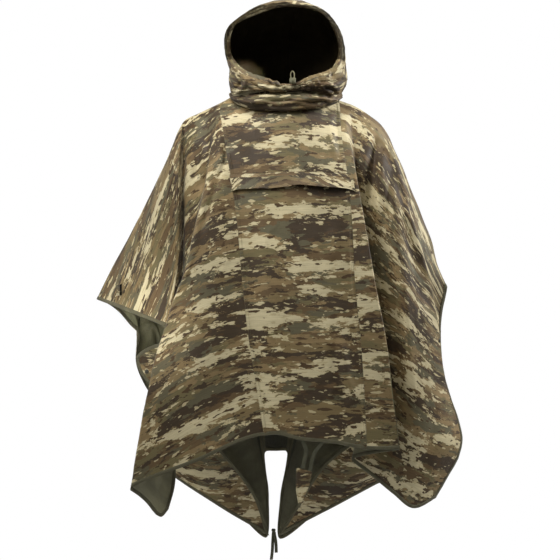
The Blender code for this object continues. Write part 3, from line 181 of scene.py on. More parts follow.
# ---- creases of the front that the camera sees: (first fold, last fold, height mm, half width px, path px). A positive
# height is a ridge. Each fades out at both ends of its path, which is in the frame of the camera above. ----
CREASES = (
    # wearer's right: soft rolls between the seam and the big fold, and in the strip behind it
    (5.2, 8.2, -3.0, 3.0, ((229, 128), (226, 160), (219, 176), (209, 206), (199, 236))),
    (5.2, 8.2, 2.5, 3.5, ((221, 138), (216, 170), (206, 200), (196, 232), (188, 262))),
    (5.2, 8.2, 3.2, 1.35, ((200.6, 227.7), (195.3, 250.6), (177.2, 296.5), (168, 327), (156, 365), (152, 383.8), (141, 437), (138, 460))),
    (3.0, 6.0, -5.0, 2.6, ((209, 132), (208, 150), (203, 178), (199, 200))),
    (3.0, 6.0, 3.5, 2.0, ((204, 140), (203, 158), (200, 180))),
    (3.0, 6.0, -4.0, 2.4, ((200, 142), (198, 160), (195, 182))),
    (3.0, 6.0, 3.0, 3.0, ((190, 150), (190, 168), (188, 186), (184, 210))),
    (0.0, 2.4, -1.6, 4.0, ((176, 160), (170, 205), (166, 250), (158, 310))),
    (0.0, 2.4, 1.4, 5.0, ((168, 176), (156, 222), (143, 268), (132, 305))),
    (0.0, 2.4, -1.2, 4.0, ((152, 212), (140, 252), (122, 292))),
    # centre
    (7.0, 12.5, -2.2, 4.0, ((337, 112), (338, 130), (342, 156))),
    (7.0, 12.5, 1.8, 3.5, ((330, 112), (331, 132), (336, 160))),
    (7.0, 12.5, 2.4, 5.0, ((338, 336), (344, 356), (348, 380), (357, 404))),
    (7.0, 12.5, -2.0, 5.0, ((330, 340), (336, 362), (341, 386), (350, 410))),
    (7.0, 12.5, 1.4, 5.0, ((331, 226), (333, 242), (332, 262))),
    (7.0, 12.5, 1.6, 8.0, ((262, 190), (266, 240), (270, 300), (276, 360))),
    (7.0, 12.5, -1.6, 8.0, ((246, 230), (252, 290), (262, 360), (268, 420))),
    (7.0, 12.5, 1.2, 7.0, ((292, 108), (287, 126), (284, 150))),
    (7.0, 12.5, -1.2, 7.0, ((262, 110), (264, 132), (266, 156))),
    # wearer's left: the groove beside the big fold, the soft trough and the crest crease
    (13.2, 18.0, -7.0, 4.5, ((378, 134), (374, 160), (371, 192), (368, 218))),
    (13.0, 18.0, -5.0, 4.2, ((361, 172), (364, 200), (370, 230), (375, 260), (381, 290), (387, 320), (393, 350), (397, 380), (401, 410), (404, 434))),
    (13.2, 18.0, 2.6, 3.0, ((366, 150), (364, 172), (366, 196))),
    (13.2, 18.0, 3.0, 3.0, ((384, 150), (380, 178), (378, 206), (380, 240))),
    (13.2, 18.0, -3.4, 3.5, ((392, 168), (389, 196), (390, 224))),
    (13.2, 18.0, 6.5, 2.6, ((371, 122), (383.5, 145), (394.6, 164.6), (399.6, 182), (404.6, 194.5), (405.8, 213), (412, 229), (415.8, 242), (419.5, 254), (424.5, 274), (433, 315), (436, 330))),
    (13.2, 18.0, 2.2, 3.5, ((428, 300), (436, 335), (440, 366), (447, 396))),
    (13.2, 18.0, -2.6, 4.5, ((404, 220), (410, 250), (418, 282), (424, 318))),
    (13.2, 18.0, 2.4, 6.0, ((400, 260), (406, 310), (410, 360), (414, 410))),
    (13.2, 18.0, -2.4, 7.0, ((384, 250), (392, 310), (398, 370), (402, 430))),
    (13.2, 18.0, 2.0, 7.0, ((404, 430), (392, 458), (384, 484))),
    (13.2, 18.0, -2.0, 6.0, ((436, 400), (432, 440), (418, 478))),
)
# creases that the camera doesn't see, on either half: (half, height mm, half width mm, path of (fold number, level))
HIDDEN_CREASES = (
    ("back", 4.0, 16, ((1.2, 0.10), (1.6, 0.28), (2.3, 0.50), (3.2, 0.72))),
    ("back", -4.0, 16, ((0.8, 0.12), (1.2, 0.34), (1.9, 0.58), (2.6, 0.80))),
    ("back", 4.5, 18, ((2.4, 0.08), (2.7, 0.30), (3.1, 0.56), (3.9, 0.84))),
    ("back", -4.5, 18, ((3.5, 0.05), (3.4, 0.26), (3.6, 0.52), (4.1, 0.80))),
    ("back", 4.0, 14, ((4.1, 0.10), (4.2, 0.34), (4.4, 0.60), (4.6, 0.82))),
    ("back", -3.0, 14, ((5.5, 0.02), (5.6, 0.20), (5.7, 0.44))),
    ("back", 3.0, 16, ((6.2, 0.03), (6.3, 0.26), (6.2, 0.52), (5.6, 0.80))),
    ("back", -3.5, 18, ((7.0, 0.10), (7.0, 0.40), (7.0, 0.74))),
    ("back", 3.0, 16, ((7.8, 0.04), (7.7, 0.30), (7.8, 0.56), (8.4, 0.82))),
    ("back", -3.0, 14, ((8.5, 0.02), (8.5, 0.24), (8.4, 0.48))),
    ("back", 4.0, 15, ((9.9, 0.12), (9.8, 0.36), (9.6, 0.62), (9.4, 0.84))),
    ("back", -4.5, 18, ((10.6, 0.05), (10.6, 0.28), (10.4, 0.54), (10.0, 0.80))),
    ("back", 4.5, 18, ((11.5, 0.08), (11.3, 0.30), (11.0, 0.56), (10.3, 0.84))),
    ("back", -4.0, 16, ((13.2, 0.12), (12.8, 0.34), (12.2, 0.58), (11.4, 0.80))),
    ("back", 3.5, 16, ((12.8, 0.10), (12.4, 0.28), (11.8, 0.50), (10.9, 0.72))),
    ("back", -8.0, 7, ((0.5, 0.30), (1.2, 0.36), (2.0, 0.46), (2.6, 0.58))),
    ("back", 8.0, 7, ((0.3, 0.42), (1.0, 0.45), (1.8, 0.54), (2.3, 0.66))),
    ("back", -7.0, 6, ((0.2, 0.52), (0.8, 0.54), (1.6, 0.62))),
    ("back", 3.0, 9, ((0.4, 0.62), (1.6, 0.74), (3.0, 0.88), (4.0, 0.97))),
    ("back", -3.0, 9, ((0.9, 0.60), (2.2, 0.72), (3.4, 0.86), (4.1, 0.95))),
    ("back", 3.0, 9, ((13.6, 0.60), (12.2, 0.74), (11.0, 0.88), (10.0, 0.97))),
    ("back", -3.0, 9, ((13.0, 0.58), (11.8, 0.72), (10.6, 0.86), (9.9, 0.95))),
    ("front", 2.6, 10, ((1.2, 0.66), (1.4, 0.80), (1.0, 0.94))),
    ("front", -2.6, 10, ((0.6, 0.72), (0.8, 0.86), (0.6, 0.97))),
    ("front", 3.0, 14, ((17.5, 0.30), (17.6, 0.55), (17.4, 0.80))),
    ("front", 3.0, 12, ((14.5, 0.40), (14.6, 0.62), (14.4, 0.86))),
)


def noise(x, y, seed):
    """Smooth noise of two coordinates, about -0.7 to 0.7, the same each time for a seed."""
    rng = np.random.default_rng(seed)
    turn, order = rng.uniform(0, 2 * math.pi, 256), rng.permutation(256)
    gx, gy = np.cos(turn), np.sin(turn)
    x, y = np.asarray(x, float), np.asarray(y, float)
    ix, iy = np.floor(x).astype(int), np.floor(y).astype(int)
    fx, fy = x - ix, y - iy

    def corner(dx, dy):
        k = order[(order[(ix + dx) % 256] + iy + dy) % 256]
        return gx[k] * (fx - dx) + gy[k] * (fy - dy)

    sx, sy = (f * f * f * (f * (f * 6 - 15) + 10) for f in (fx, fy))
    top = corner(0, 0) * (1 - sx) + corner(1, 0) * sx
    low = corner(0, 1) * (1 - sx) + corner(1, 1) * sx
    return top * (1 - sy) + low * sy


def step(x, lo, hi):
    """0 below lo, 1 above hi and a soft climb between."""
    s = np.clip((np.asarray(x, float) - lo) / (hi - lo), 0, 1)
    return s * s * (3 - 2 * s)


def smooth_line(points, softness=None, start=None, loop=False):
    """A curve through points, as (values, tangents per unit of chord). softness shortens a point's tangent to sharpen
    the turn there, and start is a fixed direction for the first point."""
    p = np.asarray(points, float)
    n = len(p)
    ways = np.roll(p, -1, axis=0) - p
    h = np.maximum(np.linalg.norm(ways, axis=-1, keepdims=True), 1e-9)
    unit = ways / h
    back_h, back_unit = np.roll(h, 1, axis=0), np.roll(unit, 1, axis=0)
    d = (back_unit * h + unit * back_h) / (h + back_h)
    if not loop:
        d[0], d[-1] = unit[0], back_unit[-1]
        if start is not None:
            d[0] = start
    if softness is not None:
        soft = np.asarray(softness, float).reshape(n, *([1] * (p.ndim - 1)))
        d = d * soft
    return p, d


def on_line(p, d, where, loop=False):
    """Points of a smooth_line at fractional indices."""
    n = len(p)
    where = np.asarray(where, float)
    i = np.floor(where).astype(int)
    if not loop:
        i = np.clip(i, 0, n - 2)
    f = (where - i).reshape(-1, *([1] * (p.ndim - 1)))
    a, b = i % n, (i + 1) % n
    h = np.linalg.norm(p[b] - p[a], axis=-1, keepdims=True)
    h00, h10 = 2 * f**3 - 3 * f**2 + 1, f**3 - 2 * f**2 + f
    h01, h11 = -2 * f**3 + 3 * f**2, f**3 - f**2
    return h00 * p[a] + h10 * h * d[a] + h01 * p[b] + h11 * h * d[b]


CREST = [(np.array(t, float)[:, 0], *smooth_line(np.array(t, float)[:, 1:] * MM)) for t in (CREST_RIGHT, CREST_LEFT)]


def crest_at(u):
    """Points of the shoulder crest at signed cut distances from the centre line."""
    u = np.atleast_1d(np.asarray(u, float))
    out = np.empty((len(u), 3))
    for side, (us, p, d) in enumerate(CREST):
        k = (u < 0) if side == 0 else (u >= 0)
        if k.any():
            out[k] = on_line(p, d, np.interp(np.abs(u[k]), us, np.arange(len(us))))
    return out


class Half:
    """The front or back half of the cloth, as a surface over (fold number, level)."""

    def __init__(self, folds, cuts, forward):
        self.forward = forward
        self.names = [f[0] for f in folds]
        self.soft = [f[2] for f in folds]
        self.tops = np.array([np.nan if f[1] is None else f[1] for f in folds])
        self.cuts = cuts
        self.lines = []
        for name, u, _, rows in folds:
            rows = [(t, (x * MM, y * MM, z * MM)) for t, x, y, z in rows]
            if u is not None:
                rows.insert(0, (0.0, tuple(crest_at(u)[0])))
            levels = np.array([r[0] for r in rows])
            start = (0, forward, 0) if u is not None else None
            self.lines.append((levels, *smooth_line([r[1] for r in rows], start=start)))
        self.last = len(self.lines) - 1

    def number(self, name):
        return float(self.names.index(name))

    def points(self, a, t):
        """Points at pairs of fold number and level, two arrays of one shape."""
        a, t = np.broadcast_arrays(np.asarray(a, float), np.asarray(t, float))
        shape, a, t = a.shape, a.ravel(), t.ravel()
        folds = np.stack([on_line(p, d, np.interp(t, levels, np.arange(len(levels)))) for levels, p, d in self.lines])
        out = self.across(folds, a)
        fade = np.clip(1 - t / CREST_ROUND, 0, 1) ** 2
        near = np.flatnonzero(fade > 0)
        i = np.clip(np.floor(a[near]).astype(int), 0, self.last - 1)
        u0, u1 = self.tops[i], self.tops[i + 1]
        with np.errstate(invalid="ignore"):
            sure = u0 * u1 > 0
        near, u = near[sure], (u0 + (u1 - u0) * (a[near] - i))[sure]
        if len(near):
            tops = np.stack([line[1][0] for line in self.lines])[:, None].repeat(len(near), axis=1)
            out[near] += fade[near, None] * (crest_at(u) - self.across(tops, a[near]))
        return out.reshape(*shape, 3)

    def across(self, folds, a):
        """Points at fold numbers a, one for each of the columns of folds (fold, column, 3)."""
        p, d = smooth_line(folds, self.soft)
        i = np.clip(np.floor(a).astype(int), 0, len(folds) - 2)
        k = np.arange(len(a))
        f = (a - i)[:, None]
        h = np.linalg.norm(p[i + 1, k] - p[i, k], axis=-1, keepdims=True)
        return (
            (2 * f**3 - 3 * f**2 + 1) * p[i, k]
            + (f**3 - 2 * f**2 + f) * h * d[i, k]
            + (-2 * f**3 + 3 * f**2) * p[i + 1, k]
            + (f**3 - f**2) * h * d[i + 1, k]
        )

    def cut(self, a, t):
        """Where the cloth at (fold number, level) lies on the flat cut, (…, 2)."""
        a, t = np.broadcast_arrays(np.asarray(a, float), np.asarray(t, float))
        rows = []
        for _, places in self.cuts:
            q = np.array(places, float)
            rows.append(np.stack([np.interp(t, q[:, 0], q[:, 1]), np.interp(t, q[:, 0], q[:, 2])], axis=-1))
        rows = np.stack(rows)
        i = np.clip(np.floor(a).astype(int), 0, self.last - 1)
        f = (a - i)[..., None]
        pick = lambda k: np.take_along_axis(rows, k[None, ..., None].repeat(2, -1), 0)[0]
        return pick(i) * (1 - f) + pick(i + 1) * f

    def normals(self, a, t):
        """Unit normals, out of the poncho."""
        a, t = np.broadcast_arrays(np.asarray(a, float), np.asarray(t, float))
        e = 0.006
        across = self.points(np.minimum(a + e, self.last), t) - self.points(np.maximum(a - e, 0), t)
        down = self.points(a, np.minimum(t + e, 1)) - self.points(a, np.maximum(t - e, 0))
        n = np.cross(down, across) * -self.forward
        return n / np.maximum(np.linalg.norm(n, axis=-1, keepdims=True), 1e-12)


front, back = Half(FRONT_FOLDS, CUT_FRONT, -1.0), Half(BACK_FOLDS, CUT_BACK, 1.0)


def near_path(points, path):
    """Distance of points from a polyline, and how far along it the nearest place is, 0 to 1."""
    path = np.asarray(path, float)
    lengths = np.linalg.norm(np.diff(path, axis=0), axis=1)
    starts = np.concatenate([[0], np.cumsum(lengths)])
    best = np.full(points.shape[:-1], np.inf)
    along = np.zeros(points.shape[:-1])
    for k in range(len(path) - 1):
        way = path[k + 1] - path[k]
        share = np.clip(((points - path[k]) @ way) / max(way @ way, 1e-12), 0, 1)
        gap = np.linalg.norm(points - path[k] - share[..., None] * way, axis=-1)
        closer = gap < best
        best = np.where(closer, gap, best)
        along = np.where(closer, (starts[k] + share * lengths[k]) / starts[-1], along)
    return best, along


def seen_at(points):
    """Where points come in the camera's picture, px."""
    k = (points[..., 1] - CAMERA_AT[1]) / FOCAL_PX
    return np.stack([HALF_PX + (points[..., 0] - CAMERA_AT[0]) / k, HALF_PX - (points[..., 2] - CAMERA_AT[2]) / k], axis=-1)


def smooth_path(path, count=28):
    p, d = smooth_line(path)
    return on_line(p, d, np.linspace(0, len(p) - 1, count))


def relief(half, a, t, base):
    """Height of the cloth's creases and waves above its large folds, m."""
    a, t = np.broadcast_arrays(np.asarray(a, float), np.asarray(t, float))
    cut = half.cut(a, t)
    u, v = cut[..., 0], cut[..., 1]
    h = np.zeros(a.shape)
    if half is front:
        at = seen_at(base)
        for lo, hi, height, width, path in CREASES:
            inside = (a > lo) & (a < hi)
            if not inside.any():
                continue
            gap, along = near_path(at[inside], smooth_path(path))
            edge = step(a[inside], lo, lo + 0.4) * step(-a[inside], -hi, -hi + 0.4)
            h[inside] += (1.7 if width < 4 else 2.4) * height * MM * np.exp(-((gap / width) ** 2)) * step(along, 0, 0.22) * step(-along, -1, -0.78) * edge
    name = "front" if half is front else "back"
    for which, height, width, path in HIDDEN_CREASES:
        if which != name:
            continue
        p = smooth_path(path)
        line = half.points(p[:, 0], p[:, 1])
        gap, along = near_path(base, line)
        h += height * MM * np.exp(-((gap / (width * MM)) ** 2)) * step(along, 0, 0.25) * step(-along, -1, -0.7)
    side = step(np.abs(u), 0.17, 0.30)
    low = step(np.abs(v), 0.1, 0.9)
    # flutes down the fall of the cloth, then the small crumples of cloth that was folded away
    h += (0.0006 + 0.0016 * side) * (0.5 + low) * noise(u * 9 + 0.6 * noise(u * 3, v * 2, 11), v * 1.7, 3) * 1.4
    h += (0.0005 + 0.0004 * side) * noise(u * 22, v * 5.5, 4)
    fold = np.abs(noise(u * 8 + 1.7 + noise(u * 5, v * 5, 12), v * 8 + 0.3, 5))
    h += 0.0009 * np.exp(-((fold / 0.05) ** 2)) * step(noise(u * 4, v * 4, 6), -0.15, 0.2)
    fold = np.abs(noise(u * 15 + 5.2, v * 19 + noise(u * 9, v * 9, 13), 7))
    h -= 0.0006 * np.exp(-((fold / 0.06) ** 2)) * step(noise(u * 6, v * 6, 8), -0.1, 0.25)
    h += 0.00035 * noise(u * 48, v * 48, 9)
    return h * step(t, -0.02, 0.04) * np.where(np.isnan(half.tops[np.clip(np.rint(a).astype(int), 0, half.last)]), step(t, 0.004, 0.05), 1)


def cloth(half, a, t, lift=0.0):
    """The cloth with its creases at (fold number, level), moved out by lift: (points, normals)."""
    base = half.points(a, t)
    n = half.normals(a, t)
    h = relief(half, a, t, base) + lift
    return base + n * h[..., None], n


def spaced(half, lo, hi, count, along):
    """count fold numbers (along is "a") or levels ("t") from lo to hi, closer where the cloth is wide or sharply folded."""
    fine = np.linspace(lo, hi, 500)
    if along == "a":
        p = half.points(fine[None, :], np.linspace(0.02, 1, 22)[:, None])
        size = np.linalg.norm(np.diff(p, axis=1), axis=2).max(axis=0)
        mid = (fine[1:] + fine[:-1]) / 2
        extra = sum(np.exp(-(((mid - k) / 0.10) ** 2)) * (0.8 - s) for k, s in enumerate(half.soft) if s < 0.6)
        size = size * (1 + 1.6 * extra)
    else:
        p = half.points(np.linspace(0, half.last, 25)[:, None], fine[None, :])
        size = np.linalg.norm(np.diff(p, axis=1), axis=2)
        size = 0.5 * size.max(axis=0) + 0.5 * size.mean(axis=0)
    run = np.concatenate([[0], np.cumsum(size)])
    return np.interp(np.linspace(0, run[-1], count), run, fine)


def settle(p, uv, turns=500):
    """Moves the places uv on the flat cut until neighbours in the grid are as far apart as on the cloth p."""
    q = uv.copy()
    pairs = []
    for dr, dc in ((0, 1), (1, 0), (1, 1), (1, -1)):
        r = np.arange(p.shape[0] - dr)
        c = np.arange(max(0, -dc), p.shape[1] - max(0, dc))
        i = np.ix_(r, c)
        j = np.ix_(r + dr, c + dc)
        pairs.append((i, j, np.linalg.norm(p[j] - p[i], axis=-1)))
    for _ in range(turns):
        move, count = np.zeros_like(q), np.zeros(q.shape[:2])
        for i, j, length in pairs:
            way = q[j] - q[i]
            now = np.maximum(np.linalg.norm(way, axis=-1), 1e-7)
            shift = way * ((now - length) / now * 0.5)[..., None]
            move[i] += shift
            move[j] -= shift
            count[i] += 1
            count[j] += 1
        q += move / count[..., None] * 1.2
    return q


def resample(grid, rows, cols):
    """A grid of values read at fractional rows and columns."""
    r0 = np.clip(np.floor(rows).astype(int), 0, grid.shape[0] - 2)
    c0 = np.clip(np.floor(cols).astype(int), 0, grid.shape[1] - 2)
    fr, fc = (rows - r0)[..., None], (cols - c0)[..., None]
    return (grid[r0, c0] * (1 - fr) + grid[r0 + 1, c0] * fr) * (1 - fc) + (grid[r0, c0 + 1] * (1 - fr) + grid[r0 + 1, c0 + 1] * fr) * fc


def mesh_object(name, verts, faces, mats, uv=None, slots=None, smooth=True):
    mesh = bpy.data.meshes.new(name)
    mesh.from_pydata(verts.tolist() if hasattr(verts, "tolist") else verts, [], faces.tolist() if hasattr(faces, "tolist") else faces)
    for m in mats:
        mesh.materials.append(m)
    if slots is not None:
        mesh.polygons.foreach_set("material_index", np.asarray(slots, np.int32))
    if uv is not None:
        layer = mesh.uv_layers.new(name="cut")
        loops = np.empty(len(mesh.loops), np.int32)
        mesh.loops.foreach_get("vertex_index", loops)
        layer.data.foreach_set("uv", np.asarray(uv, np.float32)[loops].ravel())
    if smooth:
        mesh.shade_smooth()
    mesh.update()
    obj = bpy.data.objects.new(name, mesh)
    bpy.context.scene.collection.objects.link(obj)
    return obj


def shell(name, mid, normal, wall, uv, outer, inner, loop=False, side_wall=None):
    """A thin cloth piece: a grid of points with a wall, outer material on the normals' side and inner on the other."""
    rows, cols = mid.shape[:2]
    wall = np.broadcast_to(np.asarray(wall, float), mid.shape[:2])[..., None]
    top, low = mid + normal * wall / 2, mid - normal * wall / 2
    n = rows * cols
    last = cols if loop else cols - 1
    r, c = np.meshgrid(np.arange(rows - 1), np.arange(last), indexing="ij")
    c2 = (c + 1) % cols
    quads = np.stack([r * cols + c, (r + 1) * cols + c, (r + 1) * cols + c2, r * cols + c2], axis=-1).reshape(-1, 4)
    p = top.reshape(-1, 3)
    face_n = np.cross(p[quads[:, 1]] - p[quads[:, 0]], p[quads[:, 3]] - p[quads[:, 0]])
    if (face_n * normal.reshape(-1, 3)[quads[:, 0]]).sum() < 0:
        quads = quads[:, ::-1]
    under = quads[:, ::-1] + n
    rims = []
    turned = quads[0, 1] != cols  # the quads run the other way round

    def rim(i, j):
        rims.append((i, j, j + n, i + n) if not turned else (j, i, i + n, j + n))

    for k in range(last):
        k2 = (k + 1) % cols
        rim(k2, k)
        rim((rows - 1) * cols + k, (rows - 1) * cols + k2)
    if not loop:
        for k in range(rows - 1):
            rim(k * cols, (k + 1) * cols)
            rim((k + 1) * cols + cols - 1, k * cols + cols - 1)
    rims = np.array(rims)
    faces = np.concatenate([quads, under, rims])
    slots = np.concatenate([np.zeros(len(quads), int), np.ones(len(under), int), np.zeros(len(rims), int)])
    flat = uv.reshape(-1, 2)
    return mesh_object(name, np.concatenate([p, low.reshape(-1, 3)]), faces, [outer, inner], np.concatenate([flat, flat]), slots)


# ---- materials ----
def linear(r, g, b):
    """A colour given in 0-255 display values, as a linear one."""
    return tuple((c / 255 / 12.92) if c / 255 <= 0.04045 else ((c / 255 + 0.055) / 1.055) ** 2.4 for c in (r, g, b))


class Shade:
    """A material's nodes, built one after another."""

    def __init__(self, name, roughness, specular=0.35, metallic=0.0, sheen=0.0, coat=0.0):
        self.material = bpy.data.materials.new(name)
        self.material.use_nodes = True
        self.tree = self.material.node_tree
        self.shader = self.tree.nodes["Principled BSDF"]
        self.shader.inputs["Roughness"].default_value = roughness
        self.shader.inputs["Specular IOR Level"].default_value = specular
        self.shader.inputs["Metallic"].default_value = metallic
        self.shader.inputs["Sheen Weight"].default_value = sheen
        self.shader.inputs["Coat Weight"].default_value = coat

    def put(self, socket, value):
        if isinstance(value, bpy.types.NodeSocket):
            self.tree.links.new(value, socket)
        elif value is not None:
            if isinstance(value, tuple) and len(value) == 3 and socket.type == "RGBA":
                value = (*value, 1)
            socket.default_value = value

    def node(self, kind, out=0, **inputs):
        n = self.tree.nodes.new("ShaderNode" + kind)
        plugs = {}
        for key, value in inputs.items():
            if hasattr(n, key) and not key.startswith("in_"):
                setattr(n, key, value)
            else:
                plugs[key.removeprefix("in_")] = value
        for key, value in plugs.items():
            socket = n.inputs[int(key)] if key.isdigit() else n.inputs[key.replace("_", " ")]
            self.put(socket, value)
        return n.outputs[out]

    def math(self, operation, a, b=None, c=None):
        return self.node("Math", operation=operation, in_0=a, **({} if b is None else {"in_1": b}), **({} if c is None else {"in_2": c}))

    def vec(self, operation, a, b=None, out=0):
        return self.node("VectorMath", operation=operation, in_0=a, **({} if b is None else {"in_1": b}), out=out)

    def noise(self, vector, scale=1.0, detail=3.0, roughness=0.55, out=0, dims="2D"):
        return self.node("TexNoise", out=out, noise_dimensions=dims, in_Vector=vector, in_Scale=scale, in_Detail=detail, in_Roughness=roughness)

    def over(self, value, lo, hi):
        """0 below lo, 1 above hi."""
        return self.node("MapRange", clamp=True, in_0=value, in_1=lo, in_2=hi, in_3=0.0, in_4=1.0)

    def mix(self, share, a, b):
        n = self.tree.nodes.new("ShaderNodeMix")
        n.data_type = "RGBA"
        self.put(n.inputs[0], share)
        self.put(n.inputs[6], a)
        self.put(n.inputs[7], b)
        return n.outputs[2]

    def scale_colour(self, colour, share):
        n = self.tree.nodes.new("ShaderNodeMix")
        n.data_type = "RGBA"
        n.blend_type = "MULTIPLY"
        n.inputs[0].default_value = 1.0
        self.put(n.inputs[6], colour)
        grey = self.node("CombineColor", in_0=share, in_1=share, in_2=share)
        self.put(n.inputs[7], grey)
        return n.outputs[2]

    def finish(self, colour, bump=None, distance=0.0004, strength=1.0, roughness=None):
        self.put(self.shader.inputs["Base Color"], colour)
        if roughness is not None:
            self.put(self.shader.inputs["Roughness"], roughness)
        if bump is not None:
            self.put(self.shader.inputs["Normal"], self.node("Bump", in_Strength=strength, in_Distance=distance, in_Height=bump))
        return self.material


# the camouflage, from the ground up: (colour 0-255, patch size across m, along m, where it starts, softness of its edge,
# how ragged, which layer's places it shares)
GROUND = (114, 97, 63)
CAMO_LAYERS = (
    ((100, 90, 58), 0.30, 0.066, 0.500, 0.030, 0.20, 0),
    ((91, 72, 44), 0.25, 0.054, 0.515, 0.012, 0.45, 1),
    ((124, 104, 69), 0.19, 0.040, 0.570, 0.012, 0.45, 2),
    ((86, 80, 57), 0.21, 0.050, 0.570, 0.010, 0.45, 3),
    ((58, 45, 27), 0.22, 0.050, 0.565, 0.010, 0.50, 4),
    ((150, 134, 94), 0.20, 0.050, 0.582, 0.010, 0.60, 5),
    ((184, 172, 136), 0.20, 0.050, 0.602, 0.008, 0.60, 5),
    ((68, 50, 26), 0.040, 0.015, 0.655, 0.010, 0.20, 6),
    ((170, 157, 119), 0.034, 0.013, 0.675, 0.010, 0.20, 7),
)


def weave(s, at, rib=0.0052, fine=0.0011):
    """Ripstop's height at flat places at: a thicker yarn every few millimetres each way, over a fine plain weave."""
    u = s.node("SeparateXYZ", in_0=at, out=0)
    v = s.node("SeparateXYZ", in_0=at, out=1)
    ribs = []
    for axis, pitch in ((v, rib), (u, rib)):
        ribs.append(s.math("LESS_THAN", s.math("FRACT", s.math("DIVIDE", axis, pitch)), 0.2))
    waves = [s.math("SINE", s.math("MULTIPLY", axis, 2 * math.pi / fine)) for axis in (u, v)]
    plain = s.math("MULTIPLY", *waves)
    return s.math("ADD", s.math("MAXIMUM", *ribs), s.math("MULTIPLY", plain, 0.3)), ribs[0], ribs[1]


def camouflage(name, shift=(0.0, 0.0), dark=1.0, turn=0.0, fine=1.0, gloss=1.0):
    """Printed ripstop: ragged patches drawn out along the width of the cloth. shift and turn place the cut in the print."""
    s = Shade(name, 0.66, specular=0.3 * gloss, sheen=0.06 * gloss)
    s.shader.inputs["Sheen Roughness"].default_value = 0.5
    at = s.node("UVMap", uv_map="cut")
    placed = s.node("Mapping", in_Vector=at, in_Location=(*shift, 0.0), in_Rotation=(0.0, 0.0, turn), in_Scale=(fine, fine, 1.0))
    wobble = s.vec("MULTIPLY", s.vec("SUBTRACT", s.noise(placed, 6.0, 2.0, 0.5, out=1), (0.5, 0.5, 0.5)), (0.06, 0.016, 0.0))
    placed = s.vec("ADD", placed, wobble)
    jags = [s.math("SUBTRACT", s.noise(s.vec("ADD", s.vec("MULTIPLY", placed, (1 / 0.036, 1 / 0.0135, 0.0)), (off, off * 1.7, 0.0)), 1.0, 4.0, 0.66), 0.5) for off in (0.0, 31.3)]
    colour = linear(*GROUND)
    for k, (rgb, across, along, start, soft, ragged, group) in enumerate(CAMO_LAYERS):
        at_patch = s.vec("ADD", s.vec("MULTIPLY", placed, (1 / across, 1 / along, 0.0)), (3.7 * group, 9.1 * group, 0.0))
        n = s.math("ADD", s.noise(at_patch, 1.0, 2.5, 0.5), s.math("MULTIPLY", jags[group % 2], ragged))
        colour = s.mix(s.over(n, start - soft, start + soft), colour, linear(*rgb))
    height, rib_v, rib_u = weave(s, at)
    fade = s.node("MapRange", clamp=True, in_0=s.noise(at, 5.0, 3.0), in_1=0.3, in_2=0.7, in_3=0.92 * dark, in_4=1.06 * dark)
    streak = s.noise(s.vec("MULTIPLY", placed, (1 / 0.055, 1 / 0.0055, 0.0)), 1.0, 3.0, 0.6)
    fade = s.math("MULTIPLY", fade, s.math("ADD", 1.0, s.math("MULTIPLY", s.math("SUBTRACT", streak, 0.5), 0.55)))
    ribbed = s.math("SUBTRACT", fade, s.math("MULTIPLY", s.math("ADD", rib_v, s.math("MULTIPLY", rib_u, 0.35)), 0.085))
    fibre = s.math("MULTIPLY", s.math("SUBTRACT", s.noise(at, 900.0, 2.0), 0.5), 0.12)
    colour = s.scale_colour(colour, s.math("ADD", ribbed, fibre))
    crumple = s.noise(s.vec("ADD", at, s.vec("MULTIPLY", wobble, (0.3, 0.3, 0.0))), 38.0, 3.0, 0.5)
    bump = s.math("ADD", s.math("MULTIPLY", height, 0.22), s.math("MULTIPLY", crumple, 2.2))
    rough = s.node("MapRange", clamp=True, in_0=s.noise(at, 20.0, 3.0), in_1=0.3, in_2=0.7, in_3=0.58, in_4=0.74)
    return s.finish(colour, bump, distance=0.0007, strength=0.7, roughness=rough)


def coated(name, colour=(58, 58, 43), rough=0.42, specular=0.4, slit=0.0):
    """The cloth's coated inner side: dark, with a low gloss, the ripstop showing through and fine wrinkles. slit paints
    shade on it round the slit in the back hem.
    """
    s = Shade(name, rough, specular=specular)
    at = s.node("UVMap", uv_map="cut")
    height, rib_v, rib_u = weave(s, at)
    blot = s.node("MapRange", clamp=True, in_0=s.noise(s.vec("MULTIPLY", at, (6.0, 22.0, 0.0)), 1.0, 5.0, 0.6), in_1=0.35, in_2=0.65, in_3=0.78, in_4=1.1)
    share = s.math("SUBTRACT", blot, s.math("MULTIPLY", s.math("MAXIMUM", rib_v, rib_u), 0.10))
    # painted shade: darker towards the hem and towards the middle, round the back slit
    if slit:
        across, down = (s.node("SeparateXYZ", in_Vector=at, out=k) for k in (0, 1))
        near = s.math("MULTIPLY", s.over(s.math("ABSOLUTE", across), 0.34, 0.14), s.over(down, -0.50, -0.78))
        share = s.math("MULTIPLY", share, s.math("SUBTRACT", 1.0, s.math("MULTIPLY", near, slit)))
    wrinkle = s.math("ABSOLUTE", s.math("SUBTRACT", s.noise(at, 55.0, 3.0, 0.5), 0.5))
    bump = s.math("ADD", s.math("MULTIPLY", height, 0.3), s.math("MULTIPLY", wrinkle, -3.5))
    gloss = s.node("MapRange", clamp=True, in_0=s.noise(at, 30.0, 3.0), in_1=0.3, in_2=0.7, in_3=rough - 0.07, in_4=rough + 0.10)
    return s.finish(s.scale_colour(linear(*colour), share), bump, distance=0.0008, strength=0.8, roughness=gloss)


